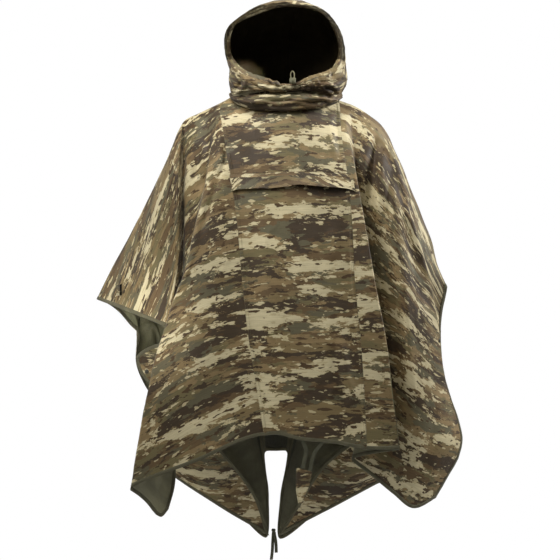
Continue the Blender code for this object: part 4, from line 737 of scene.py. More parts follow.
def ribbed_tape(name, colour, pitch=0.0012):
    """Woven tape: ribs across it and a closer edge yarn. Its UV is along and across the tape, m."""
    s = Shade(name, 0.78, specular=0.25, sheen=0.12)
    at = s.node("UVMap", uv_map="cut")
    u = s.node("SeparateXYZ", in_0=at, out=0)
    v = s.node("SeparateXYZ", in_0=at, out=1)
    rib = s.math("SINE", s.math("MULTIPLY", u, 2 * math.pi / pitch))
    yarn = s.math("SINE", s.math("MULTIPLY", v, 2 * math.pi / 0.0009))
    height = s.math("ADD", s.math("MULTIPLY", rib, 0.5), s.math("MULTIPLY", yarn, 0.25))
    share = s.node("MapRange", clamp=True, in_0=s.noise(at, 45.0, 4.0, 0.6), in_1=0.3, in_2=0.7, in_3=0.80, in_4=1.16)
    # painted shade: the dips between the ribs a little darker than their crests
    share = s.math("ADD", share, s.math("MULTIPLY", rib, 0.05))
    return s.finish(s.scale_colour(linear(*colour), share), height, distance=0.0003, strength=0.6)


def moulded(name, colour, rough=0.42):
    """Moulded plastic with a fine eroded texture and a cloudy tone and gloss."""
    s = Shade(name, rough, specular=0.45)
    at = s.node("TexCoord", out=3)
    grain = s.noise(at, 1400.0, 3.0, 0.6, dims="3D")
    cloud = s.noise(at, 260.0, 3.0, 0.5, dims="3D")
    share = s.node("MapRange", clamp=True, in_0=cloud, in_1=0.3, in_2=0.7, in_3=0.85, in_4=1.2)
    gloss = s.node("MapRange", clamp=True, in_0=cloud, in_1=0.3, in_2=0.7, in_3=rough - 0.08, in_4=rough + 0.12)
    return s.finish(s.scale_colour(linear(*colour), share), grain, distance=0.0001, strength=0.4, roughness=gloss)


def braided(name, colour, pitch=0.0022):
    """Braided cord: two sets of strands crossing round it. Its UV is along the cord, m, and round it, 0 to 1."""
    s = Shade(name, 0.8, specular=0.25, sheen=0.1)
    at = s.node("UVMap", uv_map="cut")
    u = s.math("MULTIPLY", s.node("SeparateXYZ", in_0=at, out=0), 2 * math.pi / pitch)
    v = s.math("MULTIPLY", s.node("SeparateXYZ", in_0=at, out=1), 2 * math.pi * 4)
    one = s.math("ABSOLUTE", s.math("SINE", s.math("MULTIPLY", s.math("ADD", u, v), 0.5)))
    two = s.math("ABSOLUTE", s.math("SINE", s.math("MULTIPLY", s.math("SUBTRACT", u, v), 0.5)))
    height = s.math("MAXIMUM", one, two)
    # painted shade: colour follows the strands' height, darker in the grooves between them
    share = s.math("ADD", 0.7, s.math("MULTIPLY", height, 0.4))
    return s.finish(s.scale_colour(linear(*colour), share), height, distance=0.0004, strength=0.7)


def threads(name, colour):
    s = Shade(name, 0.7, specular=0.3, sheen=0.1)
    at = s.node("TexCoord", out=3)
    share = s.node("MapRange", clamp=True, in_0=s.noise(at, 700.0, 2.0, dims="3D"), in_1=0.3, in_2=0.7, in_3=0.75, in_4=1.25)
    return s.finish(s.scale_colour(linear(*colour), share), s.noise(at, 3000.0, 1.0, dims="3D"), distance=0.0001, strength=0.3)


CAMO_RIGHT = camouflage("camouflage_right_width", (0.37, 1.91))
CAMO_LEFT = camouflage("camouflage_left_width", (2.63, 4.27))
CAMO_CENTRE = camouflage("camouflage_centre_width", (5.12, 7.83))
CAMO_HOOD_R = camouflage("camouflage_hood_right", (8.31, 3.17), 0.93)
CAMO_HOOD_L = camouflage("camouflage_hood_left", (9.72, 5.55), 0.93)
CAMO_COLLAR = camouflage("camouflage_collar", (11.4, 0.9), 0.86)
CAMO_TRIM = camouflage("camouflage_trim", (12.9, 2.6), 0.9)
CAMO_TAB = camouflage("camouflage_cuff_tab", (5.9, 4.6), 0.62, fine=2.0)
# near-black copy of the tab's print: painted shadow for the gap under the tab's lifted side
CAMO_TAB_SHADOW = camouflage("camouflage_cuff_tab_painted_shadow", (5.9, 4.6), 0.08, fine=2.0, gloss=0.1)
# the hood's print much darkened and with little gloss: painted shade for the casing over the brow and the band beside
# it
CAMO_RIM_SHADE = camouflage("camouflage_hood_rim_painted_shade", (3.4, 8.6), 0.17, fine=3.2, gloss=0.15)
# the inner side, with painted shade round the back hem's slit
INSIDE = coated("coated_inner_side", (118, 114, 86), 0.38, slit=0.78)
# the hood's inner side: the same coated cloth as the body's, much darker and with little gloss, painted shade for the
# unlit inside of the hood
HOOD_INSIDE_PAINTED_SHADE = coated("coated_hood_inner_side_painted_shade", (46, 39, 23), 0.65, 0.08)
BINDING = ribbed_tape("olive_binding_tape", (82, 78, 58))
WEBBING = ribbed_tape("olive_webbing", (74, 73, 55), 0.0015)
CORD_MAT = braided("olive_braided_cord", (108, 103, 76))
PLASTIC = moulded("olive_plastic", (82, 79, 55), 0.62)
SNAP_MAT = moulded("painted_snap_metal", (48, 47, 38), 0.38)
THREAD = threads("olive_thread", (98, 94, 70))


# ---- small builders ----
def arc_length(p):
    return np.concatenate([[0], np.cumsum(np.linalg.norm(np.diff(p, axis=0), axis=1))])


def along_line(p, where):
    run = arc_length(p)
    return np.stack([np.interp(where, run, p[:, k]) for k in range(p.shape[1])], axis=1)


stitches = {"verts": [], "faces": []}


def stitch_row(p, n, length=0.0027, gap=0.0012, width=0.0006, height=0.00035, lift=0.0):
    """A row of stitches along a line with its normals, each a small raised bar."""
    run = arc_length(p)
    starts = np.arange(gap, run[-1] - length, length + gap)
    if not len(starts):
        return
    a, b = along_line(p, starts), along_line(p, starts + length)
    up = along_line(np.concatenate([p, n], axis=1), starts + length / 2)[:, 3:]
    up /= np.linalg.norm(up, axis=1, keepdims=True)
    way = (b - a) / np.maximum(np.linalg.norm(b - a, axis=1, keepdims=True), 1e-9)
    side = np.cross(up, way)
    side /= np.maximum(np.linalg.norm(side, axis=1, keepdims=True), 1e-9)
    low, high = up * (lift - height * 0.6), up * (lift + height)
    mid = (a + b) / 2
    # a bar whose ends dip into the cloth: 4 corners at each end low, 4 in the middle high
    rings = []
    for at, up_by, w in ((a, low, 0.5), (a * 0.72 + b * 0.28, high, 1.0), (a * 0.28 + b * 0.72, high, 1.0), (b, low, 0.5)):
        rings.append(np.stack([at + up_by - side * width * w / 2, at + up_by + side * width * w / 2], axis=1))
    rings = np.stack(rings, axis=1)  # (stitch, 4, 2, 3)
    base = np.stack([mid + low - side * width / 2, mid + low + side * width / 2], axis=1)
    v = np.concatenate([rings.reshape(len(starts), 8, 3), base], axis=1)
    start = sum(len(x) for x in stitches["verts"])
    stitches["verts"].append(v.reshape(-1, 3))
    shape = [(0, 2, 3, 1), (2, 4, 5, 3), (4, 6, 7, 5), (0, 8, 2), (8, 4, 2), (8, 6, 4), (1, 3, 9), (3, 5, 9), (5, 7, 9), (0, 1, 9, 8), (8, 9, 7, 6)]
    for k in range(len(starts)):
        stitches["faces"] += [tuple(start + 10 * k + i for i in f) for f in shape]


def sew(name):
    """The rows of stitches made since the last call, as one piece."""
    obj = mesh_object(name, np.concatenate(stitches["verts"]), stitches["faces"], [THREAD], smooth=False)
    stitches["verts"], stitches["faces"] = [], []
    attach(obj, "root")
    return obj


def ring_loft(name, rings, mats, uv=None, closed=True, caps=False, smooth=True):
    """A tube from rings of points (ring, point, 3). closed joins the last ring to the first, caps closes the ends."""
    rings = np.asarray(rings, float)
    m, k = rings.shape[:2]
    faces = []
    for i in range(m if closed else m - 1):
        j = (i + 1) % m
        for q in range(k):
            q2 = (q + 1) % k
            faces.append((i * k + q, i * k + q2, j * k + q2, j * k + q))
    if caps:
        faces.append(tuple(range(k))[::-1])
        faces.append(tuple((m - 1) * k + q for q in range(k)))
    obj = mesh_object(name, rings.reshape(-1, 3), faces, mats, uv, smooth=smooth)
    bm = bmesh.new()
    bm.from_mesh(obj.data)
    bmesh.ops.recalc_face_normals(bm, faces=bm.faces[:])
    bm.to_mesh(obj.data)
    bm.free()
    return obj


def ready(obj, slot, *nodes):
    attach(obj, "root")
    if nodes:
        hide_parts(*nodes)
    return obj


# ---- the two side widths, each one length of cloth over the shoulder ----
def side_width(name, side):
    """A side width: columns from the side edge to the seam, rows from the back hem over the crest to the front hem."""
    count, front_rows, back_rows = int(128 * FINE), int(178 * FINE), int(168 * FINE)
    over = 0.075  # fold numbers by which it runs on under the centre width
    if side == "right":
        f_lo, f_hi, b_lo, b_hi = 0.0, 8.0, 0.0, 5.0
    else:
        f_lo, f_hi, b_lo, b_hi = 12.0, 18.0, 9.0, 14.0
    cf, cb = spaced(front, f_lo, f_hi, count, "a"), spaced(back, b_lo, b_hi, count, "a")
    uf = np.interp(cf, np.arange(front.last + 1), np.nan_to_num(front.tops))
    ub = np.interp(cb, np.arange(back.last + 1), np.nan_to_num(back.tops))
    u = (uf + ub) / 2
    fine_f, fine_b = np.linspace(f_lo, f_hi, 2000), np.linspace(b_lo, b_hi, 2000)
    tf = np.interp(fine_f, np.arange(front.last + 1), np.nan_to_num(front.tops))
    tb = np.interp(fine_b, np.arange(back.last + 1), np.nan_to_num(back.tops))
    crest_f, crest_b = np.interp(u, tf, fine_f), np.interp(u, tb, fine_b)
    grids = []
    for half, own, crest, levels in ((front, cf, crest_f, spaced(front, 0, 1, front_rows, "t")), (back, cb, crest_b, spaced(back, 0, 1, back_rows, "t"))):
        levels = levels.copy()
        levels[-1] = 1 - 0.0012
        w = step(levels, 0, 0.22)[:, None]
        a = crest[None, :] * (1 - w) + own[None, :] * w
        t = np.broadcast_to(levels[:, None], a.shape).copy()
        seam = half.number(side + "_seam")
        sign = 1 if side == "right" else -1
        ramp = np.clip(levels / 0.04, 0, 1)
        lap = np.stack([seam + sign * over * x * ramp for x in (0.35, 1.0)], axis=1)
        lap = lap if side == "right" else lap[:, ::-1]
        lap_t = np.broadcast_to(levels[:, None], lap.shape)
        dip = np.zeros(a.shape)
        if side == "right":
            a, t = np.concatenate([a, lap], axis=1), np.concatenate([t, lap_t], axis=1)
            dip = np.concatenate([dip, -0.0008 * ramp[:, None] * np.array([[0.8, 1.0]])], axis=1)
        else:
            a, t = np.concatenate([lap, a], axis=1), np.concatenate([lap_t, t], axis=1)
            dip = np.concatenate([-0.0008 * ramp[:, None] * np.array([[1.0, 0.8]]), dip], axis=1)
        edge = 0 if side == "right" else -1
        nxt = 1 if side == "right" else -2
        a[:, edge] += np.sign(a[:, nxt] - a[:, edge]) * 0.004
        p, n = cloth(half, a, t, dip)
        grids.append((half, a, t, p, n))
    (_, af, tf_, pf, nf), (_, ab, tb_, pb, nb) = grids
    n_crest = nf[0] + nb[0]
    n_crest /= np.linalg.norm(n_crest, axis=1, keepdims=True)
    nf[0] = n_crest
    middle = (pf[0] + pb[0]) / 2
    pf[0] = middle
    mid = np.concatenate([pb[:0:-1], pf])
    normal = np.concatenate([nb[:0:-1], nf])
    # the flat cut, settled on a coarser grid
    cut = np.concatenate([back.cut(ab, tb_)[:0:-1], front.cut(af, tf_)])
    uv = flat_cut(mid, cut)
    outer = CAMO_RIGHT if side == "right" else CAMO_LEFT
    obj = shell(name, mid, normal, CLOTH, uv, outer, INSIDE)
    return ready(obj, "camouflage_cloth", f"front_{side}_side_panel", f"back_{side}_side_panel")


def flat_cut(mid, cut, rows=64, cols=34):
    """The flat places of a grid of cloth, evened out until the print isn't stretched."""
    r = np.linspace(0, mid.shape[0] - 1, rows)
    c = np.linspace(0, mid.shape[1] - 1, cols)
    rr, cc = np.meshgrid(r, c, indexing="ij")
    p, q = resample(mid, rr, cc), resample(cut, rr, cc)
    q = settle(p, q)
    rr, cc = np.meshgrid(np.arange(mid.shape[0]) * (rows - 1) / (mid.shape[0] - 1), np.arange(mid.shape[1]) * (cols - 1) / (mid.shape[1] - 1), indexing="ij")
    return resample(q, rr, cc)


def centre_width(name, half):
    """A half of the centre width, its two side edges turned under and lying on the side widths."""
    count, rows = int(112 * FINE), int(176 * FINE)
    lo, hi = half.number("right_seam"), half.number("left_seam")
    levels = spaced(half, 0, 1, rows, "t")
    levels[0], levels[-1] = 0.0008, 1 - 0.0012
    e = 0.05
    per_lo = np.linalg.norm(half.points(lo + e, levels) - half.points(lo, levels), axis=-1) / e
    per_hi = np.linalg.norm(half.points(hi, levels) - half.points(hi - e, levels), axis=-1) / e
    band = np.array([0.0, 0.0005, 0.0045, LAP - 0.0006, LAP + 0.0005])
    rise = np.array([0.0002, 0.0007, 0.0008, 0.0007, 0.0])
    left = lo + band[None, :] / per_lo[:, None]
    right = hi - band[None, ::-1] / per_hi[:, None]
    inner = np.linspace(0, 1, count)[None, 1:-1]
    a = np.concatenate([left, left[:, -1:] + (right[:, :1] - left[:, -1:]) * inner, right], axis=1)
    t = np.broadcast_to(levels[:, None], a.shape)
    lift = np.broadcast_to(np.concatenate([rise, np.zeros(inner.shape[1]), rise[::-1]])[None, :], a.shape)
    p, n = cloth(half, a, t, lift)
    cut = half.cut(a, t)
    uv = flat_cut(p, cut, 40, 30)
    if half is back:
        p, n, uv = p[::-1], n[::-1], uv[::-1]
    return ready(shell(name, p, n, CLOTH, uv, CAMO_CENTRE, INSIDE), "camouflage_cloth", name.replace("_width", "_panel"))


right_width = side_width("right_side_width", "right")
left_width = side_width("left_side_width", "left")
front_centre = centre_width("front_centre_width", front)
back_centre = centre_width("back_centre_width", back)

for half in (front, back):
    for seam, sign in (("right_seam", 1), ("left_seam", -1)):
        levels = np.linspace(0.004, 0.994, 260)
        a0 = half.number(seam)
        per = np.linalg.norm(half.points(a0 + sign * 0.05, levels) - half.points(a0, levels), axis=-1) / 0.05
        for off in (0.0018, LAP - 0.0018):
            p, n = cloth(half, a0 + sign * off / per, levels, 0.0008 + CLOTH / 2)
            stitch_row(p, n)
sew("long_seam_stitches")


# ---- edge binding ----
def inside_edge(half, at, side, by):
    """Places at a distance in from a free edge: for side "a0" or "a1" the fold numbers at levels at, and for "t1" the
    levels at fold numbers at."""
    e = 0.012
    if side == "t1":
        edge, inner, start, way = half.points(at, 1.0), half.points(at, 1 - e), 1.0, -1.0
    else:
        start, way = (0.0, 1.0) if side == "a0" else (float(half.last), -1.0)
        edge, inner = half.points(start, at), half.points(start + way * e, at)
    along = np.gradient(edge, axis=0)
    along /= np.maximum(np.linalg.norm(along, axis=1, keepdims=True), 1e-12)
    away = inner - edge
    away -= (away * along).sum(1, keepdims=True) * along
    share = by * e / np.maximum(np.linalg.norm(away, axis=1), 1e-6)
    return start + way * np.minimum(share, 0.16 if side == "t1" else 0.9)


def edge_places(half, by, side_count=190, hem_count=520):
    """(fold numbers, levels) of a line at a distance in from the whole free edge of a half, from the right wrist down
    the side, along the hem and up the left side. Every distance has the same count of places."""
    t_side = spaced(half, 0, 1, side_count, "t")
    a_hem = np.linspace(0, half.last, hem_count)
    keep = by * 1.0
    a0 = inside_edge(half, t_side, "a0", keep)
    a1 = inside_edge(half, t_side, "a1", keep)
    t1 = inside_edge(half, a_hem, "t1", keep)
    # where the side's line meets the hem's line, near each corner
    def corner(a_side, t_hem_at):
        gap = t_hem_at - t_side
        k = int(np.argmax(gap <= 0)) if (gap <= 0).any() else len(t_side) - 1
        return t_side[k], a_side[k]
    tc0, ac0 = corner(a0, np.interp(a0, a_hem, t1))
    tc1, ac1 = corner(a1, np.interp(a1, a_hem, t1))
    s = np.linspace(0, 1, side_count)
    t_down0 = np.interp(s, np.linspace(0, 1, side_count), t_side) * tc0
    t_down1 = np.interp(s, np.linspace(0, 1, side_count), t_side) * tc1
    a_down0, a_down1 = np.interp(t_down0, t_side, a0), np.interp(t_down1, t_side, a1)
    hem_a = np.linspace(ac0, ac1, hem_count)
    hem_t = np.interp(hem_a, a_hem, t1)
    a = np.concatenate([a_down0, hem_a[1:-1], a_down1[::-1]])
    t = np.concatenate([t_down0, hem_t[1:-1], t_down1[::-1]])
    return a, t


def binding(name):
    """The tape bound round the whole edge: the front half's line and the back half's, joined at the two wrists."""
    inset = (TAPE_WIDTH, 0.0055, 0.0020, 0.0)
    lines = {}
    for by in inset:
        (af, tf), (ab, tb) = edge_places(front, by), edge_places(back, by)
        pf, nf = cloth(front, af, tf)
        pb, nb = cloth(back, ab, tb)
        lines[by] = np.concatenate([pf, pb[::-1]]), np.concatenate([nf, nb[::-1]])
    count = len(lines[0.0][0])
    s = np.arange(count)
    uneven = 1 + 0.05 * noise(s * 0.06, s * 0.0 + 0.5, 31)
    out, face_lines = [], []
    edge, n_edge = lines[0.0]
    beyond = edge - lines[0.0020][0]
    beyond /= np.maximum(np.linalg.norm(beyond, axis=1, keepdims=True), 1e-9)
    for sign in (1, -1):
        half_ring = []
        for by, lift in ((TAPE_WIDTH, 0.0009), (0.0055, 0.00125), (0.0020, 0.0012)):
            p, n = lines[by]
            half_ring.append(p + n * (sign * lift * uneven)[:, None])
        out.append(half_ring)
        face_lines.append((lines[0.0055][0] * 0.6 + lines[TAPE_WIDTH][0] * 0.4 + lines[0.0055][1] * sign * 0.0012, lines[0.0055][1] * sign))
    outer_edge = [edge + n_edge * 0.0008 + beyond * 0.0003, edge + beyond * 0.0009, edge - n_edge * 0.0008 + beyond * 0.0003]
    inner = []
    for by, sign in ((TAPE_WIDTH, -1), (0.0020, -1), (0.0020, 1), (TAPE_WIDTH, 1)):
        p, n = lines[by]
        inner.append(p + n * sign * 0.0005)
    ring = out[0] + outer_edge + out[1][::-1] + inner
    rings = np.stack(ring, axis=1)
    across = np.array([0, 0.0035, 0.007, 0.0085, 0.0095, 0.0105, 0.012, 0.0155, 0.019, 0.019, 0.012, 0.012, 0.019])
    run = np.concatenate([[0], np.cumsum(np.linalg.norm(np.diff(edge, axis=0), axis=1))])
    uv = np.stack(np.broadcast_arrays(run[:, None], across[None, :]), axis=-1)
    obj = ring_loft(name, rings, [BINDING], uv.reshape(-1, 2))
    ready(obj, "olive_tape", "front_edge_binding", "back_edge_binding")
    for p, n in face_lines:
        stitch_row(np.concatenate([p, p[:1]]), np.concatenate([n, n[:1]]), lift=0.0001)
    sew("binding_stitches")
    return obj


tape_round = binding("edge_binding")


# ---- hood ----
def neck_hole(around):
    out = []
    for k in np.asarray(around, float):
        k = (k + 3) % 12 - 3
        half, table = (front, NECK_FRONT) if k <= 3 else (back, NECK_BACK)
        out.append(half.points(np.interp(k, [r[0] for r in table], [r[1] for r in table]), 0.0))
    return np.array(out)


neck = neck_hole(range(12))
outward = neck * (1, 1, 0) / np.linalg.norm(neck[:, :2], axis=1, keepdims=True)
stand = neck + outward * COLLAR_OUT + np.array((0, 0, COLLAR_UP))
hood = np.concatenate([np.array([line[1:] for line in HOOD_LINES], float) * MM, stand[:, None], neck[:, None]], axis=1)

# folds of the hood: (height mm, half width mm, path of (line round, level down)), a ridge if positive. Lines past 12 go
# on round.
HOOD_CREASES = (
    (-3.5, 5, ((1.0, 3.75), (1.6, 3.55), (2.3, 3.2))),
    (3.0, 5, ((0.9, 3.35), (1.5, 3.0), (2.2, 2.4), (2.6, 1.7))),
    (-3.0, 5, ((1.4, 2.9), (1.9, 2.3), (2.3, 1.5))),
    (3.0, 6, ((1.9, 3.5), (2.4, 2.9), (2.7, 2.2))),
    (-2.4, 5, ((0.4, 2.9), (0.9, 2.6), (1.4, 2.0))),
    (2.2, 4, ((0.3, 2.4), (0.7, 2.1), (1.1, 1.6))),
    (-2.0, 4, ((0.2, 1.9), (0.5, 1.6), (0.8, 1.2))),
    (2.4, 5, ((0.2, 3.4), (0.8, 3.2), (1.3, 3.3))),
    (-4.5, 5, ((10.1, 3.7), (10.5, 3.45), (10.9, 3.15))),
    (3.5, 5, ((9.7, 3.3), (10.2, 3.0), (10.8, 2.6))),
    (-3.0, 5, ((9.9, 2.7), (10.4, 2.3), (10.8, 1.7))),
    (3.0, 5, ((11.0, 3.5), (11.3, 3.0), (11.6, 2.2))),
    (-2.4, 4, ((11.2, 2.7), (11.5, 2.1), (11.7, 1.4))),
    (2.0, 4, ((11.6, 2.8), (11.8, 2.2), (11.9, 1.5))),
    (2.6, 6, ((9.3, 2.6), (9.6, 2.0), (9.8, 1.4))),
    (-2.4, 6, ((2.9, 2.9), (3.2, 2.2), (3.4, 1.5))),
    (3.0, 9, ((4.2, 3.8), (4.5, 3.0), (5.0, 2.3))),
    (-3.0, 9, ((4.8, 3.9), (5.1, 3.2), (5.5, 2.5))),
    (2.6, 9, ((7.8, 3.8), (7.5, 3.1), (7.0, 2.4))),
    (-2.6, 9, ((7.2, 3.9), (6.9, 3.2), (6.6, 2.6))),
    (2.0, 10, ((6.2, 1.2), (6.1, 2.0), (6.0, 2.8))),
    # the gathered roll of the collar under it
    (-2.2, 4, ((10.2, 4.9), (11.0, 5.3), (11.8, 5.1))),
    (2.0, 4, ((0.2, 4.7), (1.0, 5.1), (1.9, 4.9))),
    (-2.0, 4, ((0.4, 5.3), (1.2, 5.6), (2.1, 5.3))),
    (2.2, 4, ((10.4, 5.4), (11.2, 5.7), (12.0, 5.6))),
)

# the same for the side that the camera sees: (height mm, half width px, path px)
HOOD_SEEN = (
    (4.5, 1.7, ((243.7, 72.7), (246.4, 83), (240, 90), (233.2, 95.2))),
    (-4.0, 1.6, ((237, 72), (240, 82), (236.5, 88.5), (232.8, 92))),
    (-3.5, 1.3, ((250, 80), (254, 86), (262, 89.6), (270, 90.6))),
    (3.0, 1.4, ((246.5, 84), (255, 88), (266, 89.6))),
    (-6.0, 1.3, ((233, 96.2), (240, 94.2), (247.5, 92.4), (262, 92.6), (276, 92.2))),
    (-2.6, 0.8, ((299, 82), (300.5, 86), (301.5, 90))),
    (2.6, 0.8, ((302, 80.5), (303.8, 85), (305, 89.5))),
    (-2.6, 0.8, ((305, 79.5), (307, 84.5), (308.6, 88.5))),
    (2.4, 0.8, ((308.2, 78.6), (310.2, 83), (312, 87.5))),
    (-2.4, 0.8, ((311.5, 77.6), (313.6, 82), (315.6, 86.4))),
    (2.2, 0.9, ((315, 76.5), (317, 80.5), (319.6, 85))),
    (-2.6, 0.8, ((282, 80.5), (280, 85), (279, 89))),
    (2.4, 0.8, ((278.2, 79.8), (275.6, 84), (274.6, 88.6))),
    (-2.4, 0.8, ((274, 79.2), (271.2, 83.5), (270.2, 88))),
    (2.0, 0.8, ((269.8, 78.8), (267.2, 82.6), (266.2, 87))),
    (-2.0, 0.8, ((265.5, 78.3), (262.6, 82), (262, 86))),
    (1.8, 0.9, ((260.5, 77), (257.5, 80.5), (256.5, 84.5))),
    (-6.0, 1.5, ((323, 87), (330, 89.6), (338, 93.6))),
    (4.5, 1.5, ((318, 86), (324, 84.4), (333, 86), (337.5, 89.5))),
    (-5.0, 1.4, ((316, 94.4), (324, 95.4), (333, 96.2))),
    (4.0, 1.3, ((313, 90.8), (322, 91.6), (332, 93.8), (338, 97))),
    (3.0, 2.0, ((337, 58), (339.5, 70), (338.5, 82))),
    (-3.0, 2.0, ((332, 60), (333.5, 70), (331, 80))),
    (2.6, 1.8, ((232, 52), (233.5, 64), (237, 74))),
    (3.2, 1.6, ((258, 95.6), (270, 97.2), (284, 97.2), (298, 95.2))),
    (-3.4, 1.5, ((262, 99.8), (278, 101.2), (296, 99.8))),
    (3.4, 1.4, ((302, 97.5), (318, 98.5), (333, 100))),
    (-3.4, 1.3, ((299, 101), (315, 102.5), (329, 102))),
    (2.8, 1.5, ((236, 99), (246, 101.5), (258, 103))),
    (3.0, 1.2, ((262, 107.6), (282, 108.8), (304, 107.8))),
)


def hood_base(around, down):
    p, d = smooth_line(hood.transpose(1, 0, 2), (0.4, 0.7, 1.0, 1.0, 0.4, 1.0, 0.8, 0.6, 0.5))
    lines = on_line(p, d, down).transpose(1, 0, 2)
    p, d = smooth_line(lines, loop=True)
    points = on_line(p, d, around, loop=True).transpose(1, 0, 2)
    seam_p, seam_d = smooth_line(neck, loop=True)
    miss = neck_hole(around) - on_line(seam_p, seam_d, around, loop=True)
    near = np.clip(np.asarray(down, float) - 7, 0, 1) ** 2
    return points + near[:, None, None] * miss


HOOD_AROUND, HOOD_DOWN = np.linspace(0, 12.5, 126), np.linspace(0, 8, 81)
HOOD_SHEET = hood_base(HOOD_AROUND, HOOD_DOWN)


def hood_at(around, down, lift=0.0):
    """Hood points (down, around, 3) with their folds, and their normals."""
    around, down = np.asarray(around, float), np.asarray(down, float)
    p = hood_base(around, down)
    e = 0.02
    ra, da = hood_base(around + e, down) - hood_base(around - e, down), hood_base(around, np.minimum(down + e, 8)) - hood_base(around, np.maximum(down - e, 0))
    n = np.cross(ra, da)
    n /= np.maximum(np.linalg.norm(n, axis=-1, keepdims=True), 1e-12)
    centre = np.array((0, 0, 0.12))
    if (n * (p - centre)).sum() < 0:
        n = -n
    grid_a, grid_d = np.meshgrid(around, down)
    h = np.zeros(grid_a.shape)
    for height, width, path in HOOD_CREASES:
        q = smooth_path(path, 20)
        line = resample(HOOD_SHEET, q[:, 1] * 10, q[:, 0] * 10)
        gap, along = near_path(p, line)
        round_off = np.abs((grid_a - q[:, 0].mean() + 6) % 12 - 6)
        h += height * MM * np.exp(-((gap / (width * MM)) ** 2)) * step(along, 0, 0.3) * step(-along, -1, -0.7) * (round_off < 2.2) * (np.abs(grid_d - q[:, 1].mean()) < 2.5)
    if len(around) > 30:
        at, outer = seen_at(p), n[..., 1] < 0.15
        for height, width, path in HOOD_SEEN:
            gap, along = near_path(at, smooth_path(path, 18))
            h += 1.45 * height * MM * np.exp(-((gap / (1.15 * width)) ** 2)) * step(along, 0, 0.28) * step(-along, -1, -0.72) * outer
    wrap = np.stack([np.cos(grid_a * math.pi / 6), np.sin(grid_a * math.pi / 6)], axis=-1)
    # the drawcord's gathers: ripples that start at the rim and die out, stronger near the chin
    chin = 0.45 + 0.55 * step(-np.abs((grid_a + 6) % 12 - 6), -4.0, -1.5)
    ripple = noise(grid_a * 6.5 + 40, grid_d * 0.8, 41) + 0.5 * noise(grid_a * 13 + 9, grid_d * 0.9, 42)
    h += 0.0034 * chin * ripple * np.exp(-((np.maximum(grid_d, 0.5) - 0.5) / 1.1) ** 2)
    # tension folds above and below the neck crease
    h += 0.0022 * noise(grid_a * 4.2 + 3, grid_d * 1.6 + grid_a * 0.3, 43) * np.exp(-(((grid_d - 4.2) / 1.1) ** 2))
    h += 0.0016 * noise(grid_a * 2.0 + wrap[..., 0], grid_d * 2.2, 44) * step(grid_d, 1.0, 2.0)
    fold = np.abs(noise(grid_a * 1.6 + 2.2, grid_d * 1.9 + 7, 45))
    h += 0.0010 * np.exp(-((fold / 0.06) ** 2)) * step(grid_d, 1.1, 1.8)
    h *= step(-grid_d, -7.9, -7.0) * 1.0
    n_end = n
    p = p + n_end * (h + lift)[..., None]
    return p, n_end


def hood_cut(p, loop=False):
    """Flat places for a hood piece: round and down it, in metres, evened out."""
    mid_row = p[p.shape[0] // 2]
    mid_col = p[:, p.shape[1] // 2]
    u, v = arc_length(mid_row), arc_length(mid_col)
    cut = np.stack(np.meshgrid(u, -v), axis=-1)
    return flat_cut(p, cut, 26, 40) if not loop else cut


def paint_brow_shade(obj, p, around, down):
    """Paint shade on the cloth beside the casing, from cheek to cheek over the brow, with the casing's darkened print.
    """
    obj.data.materials.append(CAMO_RIM_SHADE)
    count = (p.shape[0] - 1) * (p.shape[1] - 1)
    index = np.zeros(len(obj.data.polygons), dtype=np.int32)
    obj.data.polygons.foreach_get("material_index", index)
    r, c = np.divmod(np.arange(count), p.shape[1] - 1)
    limit = 1.42 - 0.40 * np.exp(-(((around[c] - 6.1) / 0.75) ** 2)) + 0.07 * np.sin(around[c] * 9.0) + 0.05 * np.sin(around[c] * 23.0 + 1.0)
    # painted shade: faces above z 0.112 and within the ragged limit from the rim
    index[:count][(p[r, c, 2] > 0.112) & (down[r] < limit) & (index[:count] == 0)] = 2
    obj.data.polygons.foreach_set("material_index", index)


def hood_piece(name, around, down, material, *nodes, loop=False, lift=0.0, wall=CLOTH):
    p, n = hood_at(around, down, lift)
    uv = hood_cut(p, loop)
    obj = shell(name, p, n, wall, uv, material, HOOD_INSIDE_PAINTED_SHADE, loop=loop)
    paint_brow_shade(obj, p, around, down)
    return ready(obj, "camouflage_cloth", *nodes)


across_half = int(120 * FINE)
down_hood = np.linspace(0.93, 4.0, int(100 * FINE))
hood_right = hood_piece("hood_right_side", np.linspace(0, 6, across_half), down_hood, CAMO_HOOD_R, "hood_right_panel")
hood_left = hood_piece("hood_left_side", np.linspace(6, 12, across_half), down_hood, CAMO_HOOD_L, "hood_left_panel")
collar_around = np.linspace(6, 18, int(260 * FINE))
collar_down = np.concatenate([np.linspace(4.0, 7, int(60 * FINE)), np.linspace(7, 7.97, int(14 * FINE))[1:]])
collar = hood_piece("neck_collar_roll", collar_around, collar_down, CAMO_COLLAR, "neck_collar")

# the rim casing: the hood's edge turned in over the drawcord and sewn down
casing_around = np.linspace(6, 18, int(300 * FINE))
outer_levels = np.array((1.0, 0.93, 0.80, 0.62, 0.45, 0.28, 0.14, 0.05, 0.0))
p, n = hood_at(casing_around, outer_levels)
bulge = np.array((0.0007, 0.0009, 0.0012, 0.0017, 0.0021, 0.0022, 0.0018, 0.0010, 0.0)) * 1.0
outer_side = p + n * bulge[:, None, None]
rim_way = p[-1] - p[-3]
rim_way /= np.linalg.norm(rim_way, axis=-1, keepdims=True)
turn_over = p[-1] + rim_way * 0.0006 - n[-1] * 0.0010
inner_levels = outer_levels[::-1][1:]
inner_side = p[::-1][1:] - n[::-1][1:] * (0.0012 + np.array((0.0008, 0.0014, 0.0016, 0.0015, 0.0012, 0.0008, 0.0004, 0.0002)))[:, None, None]
rings = np.concatenate([outer_side, turn_over[None], inner_side]).transpose(1, 0, 2)
run = arc_length(rings[:, 8])
across = arc_length(rings[0])
uv = np.stack(np.meshgrid(run, across, indexing="ij"), axis=-1)
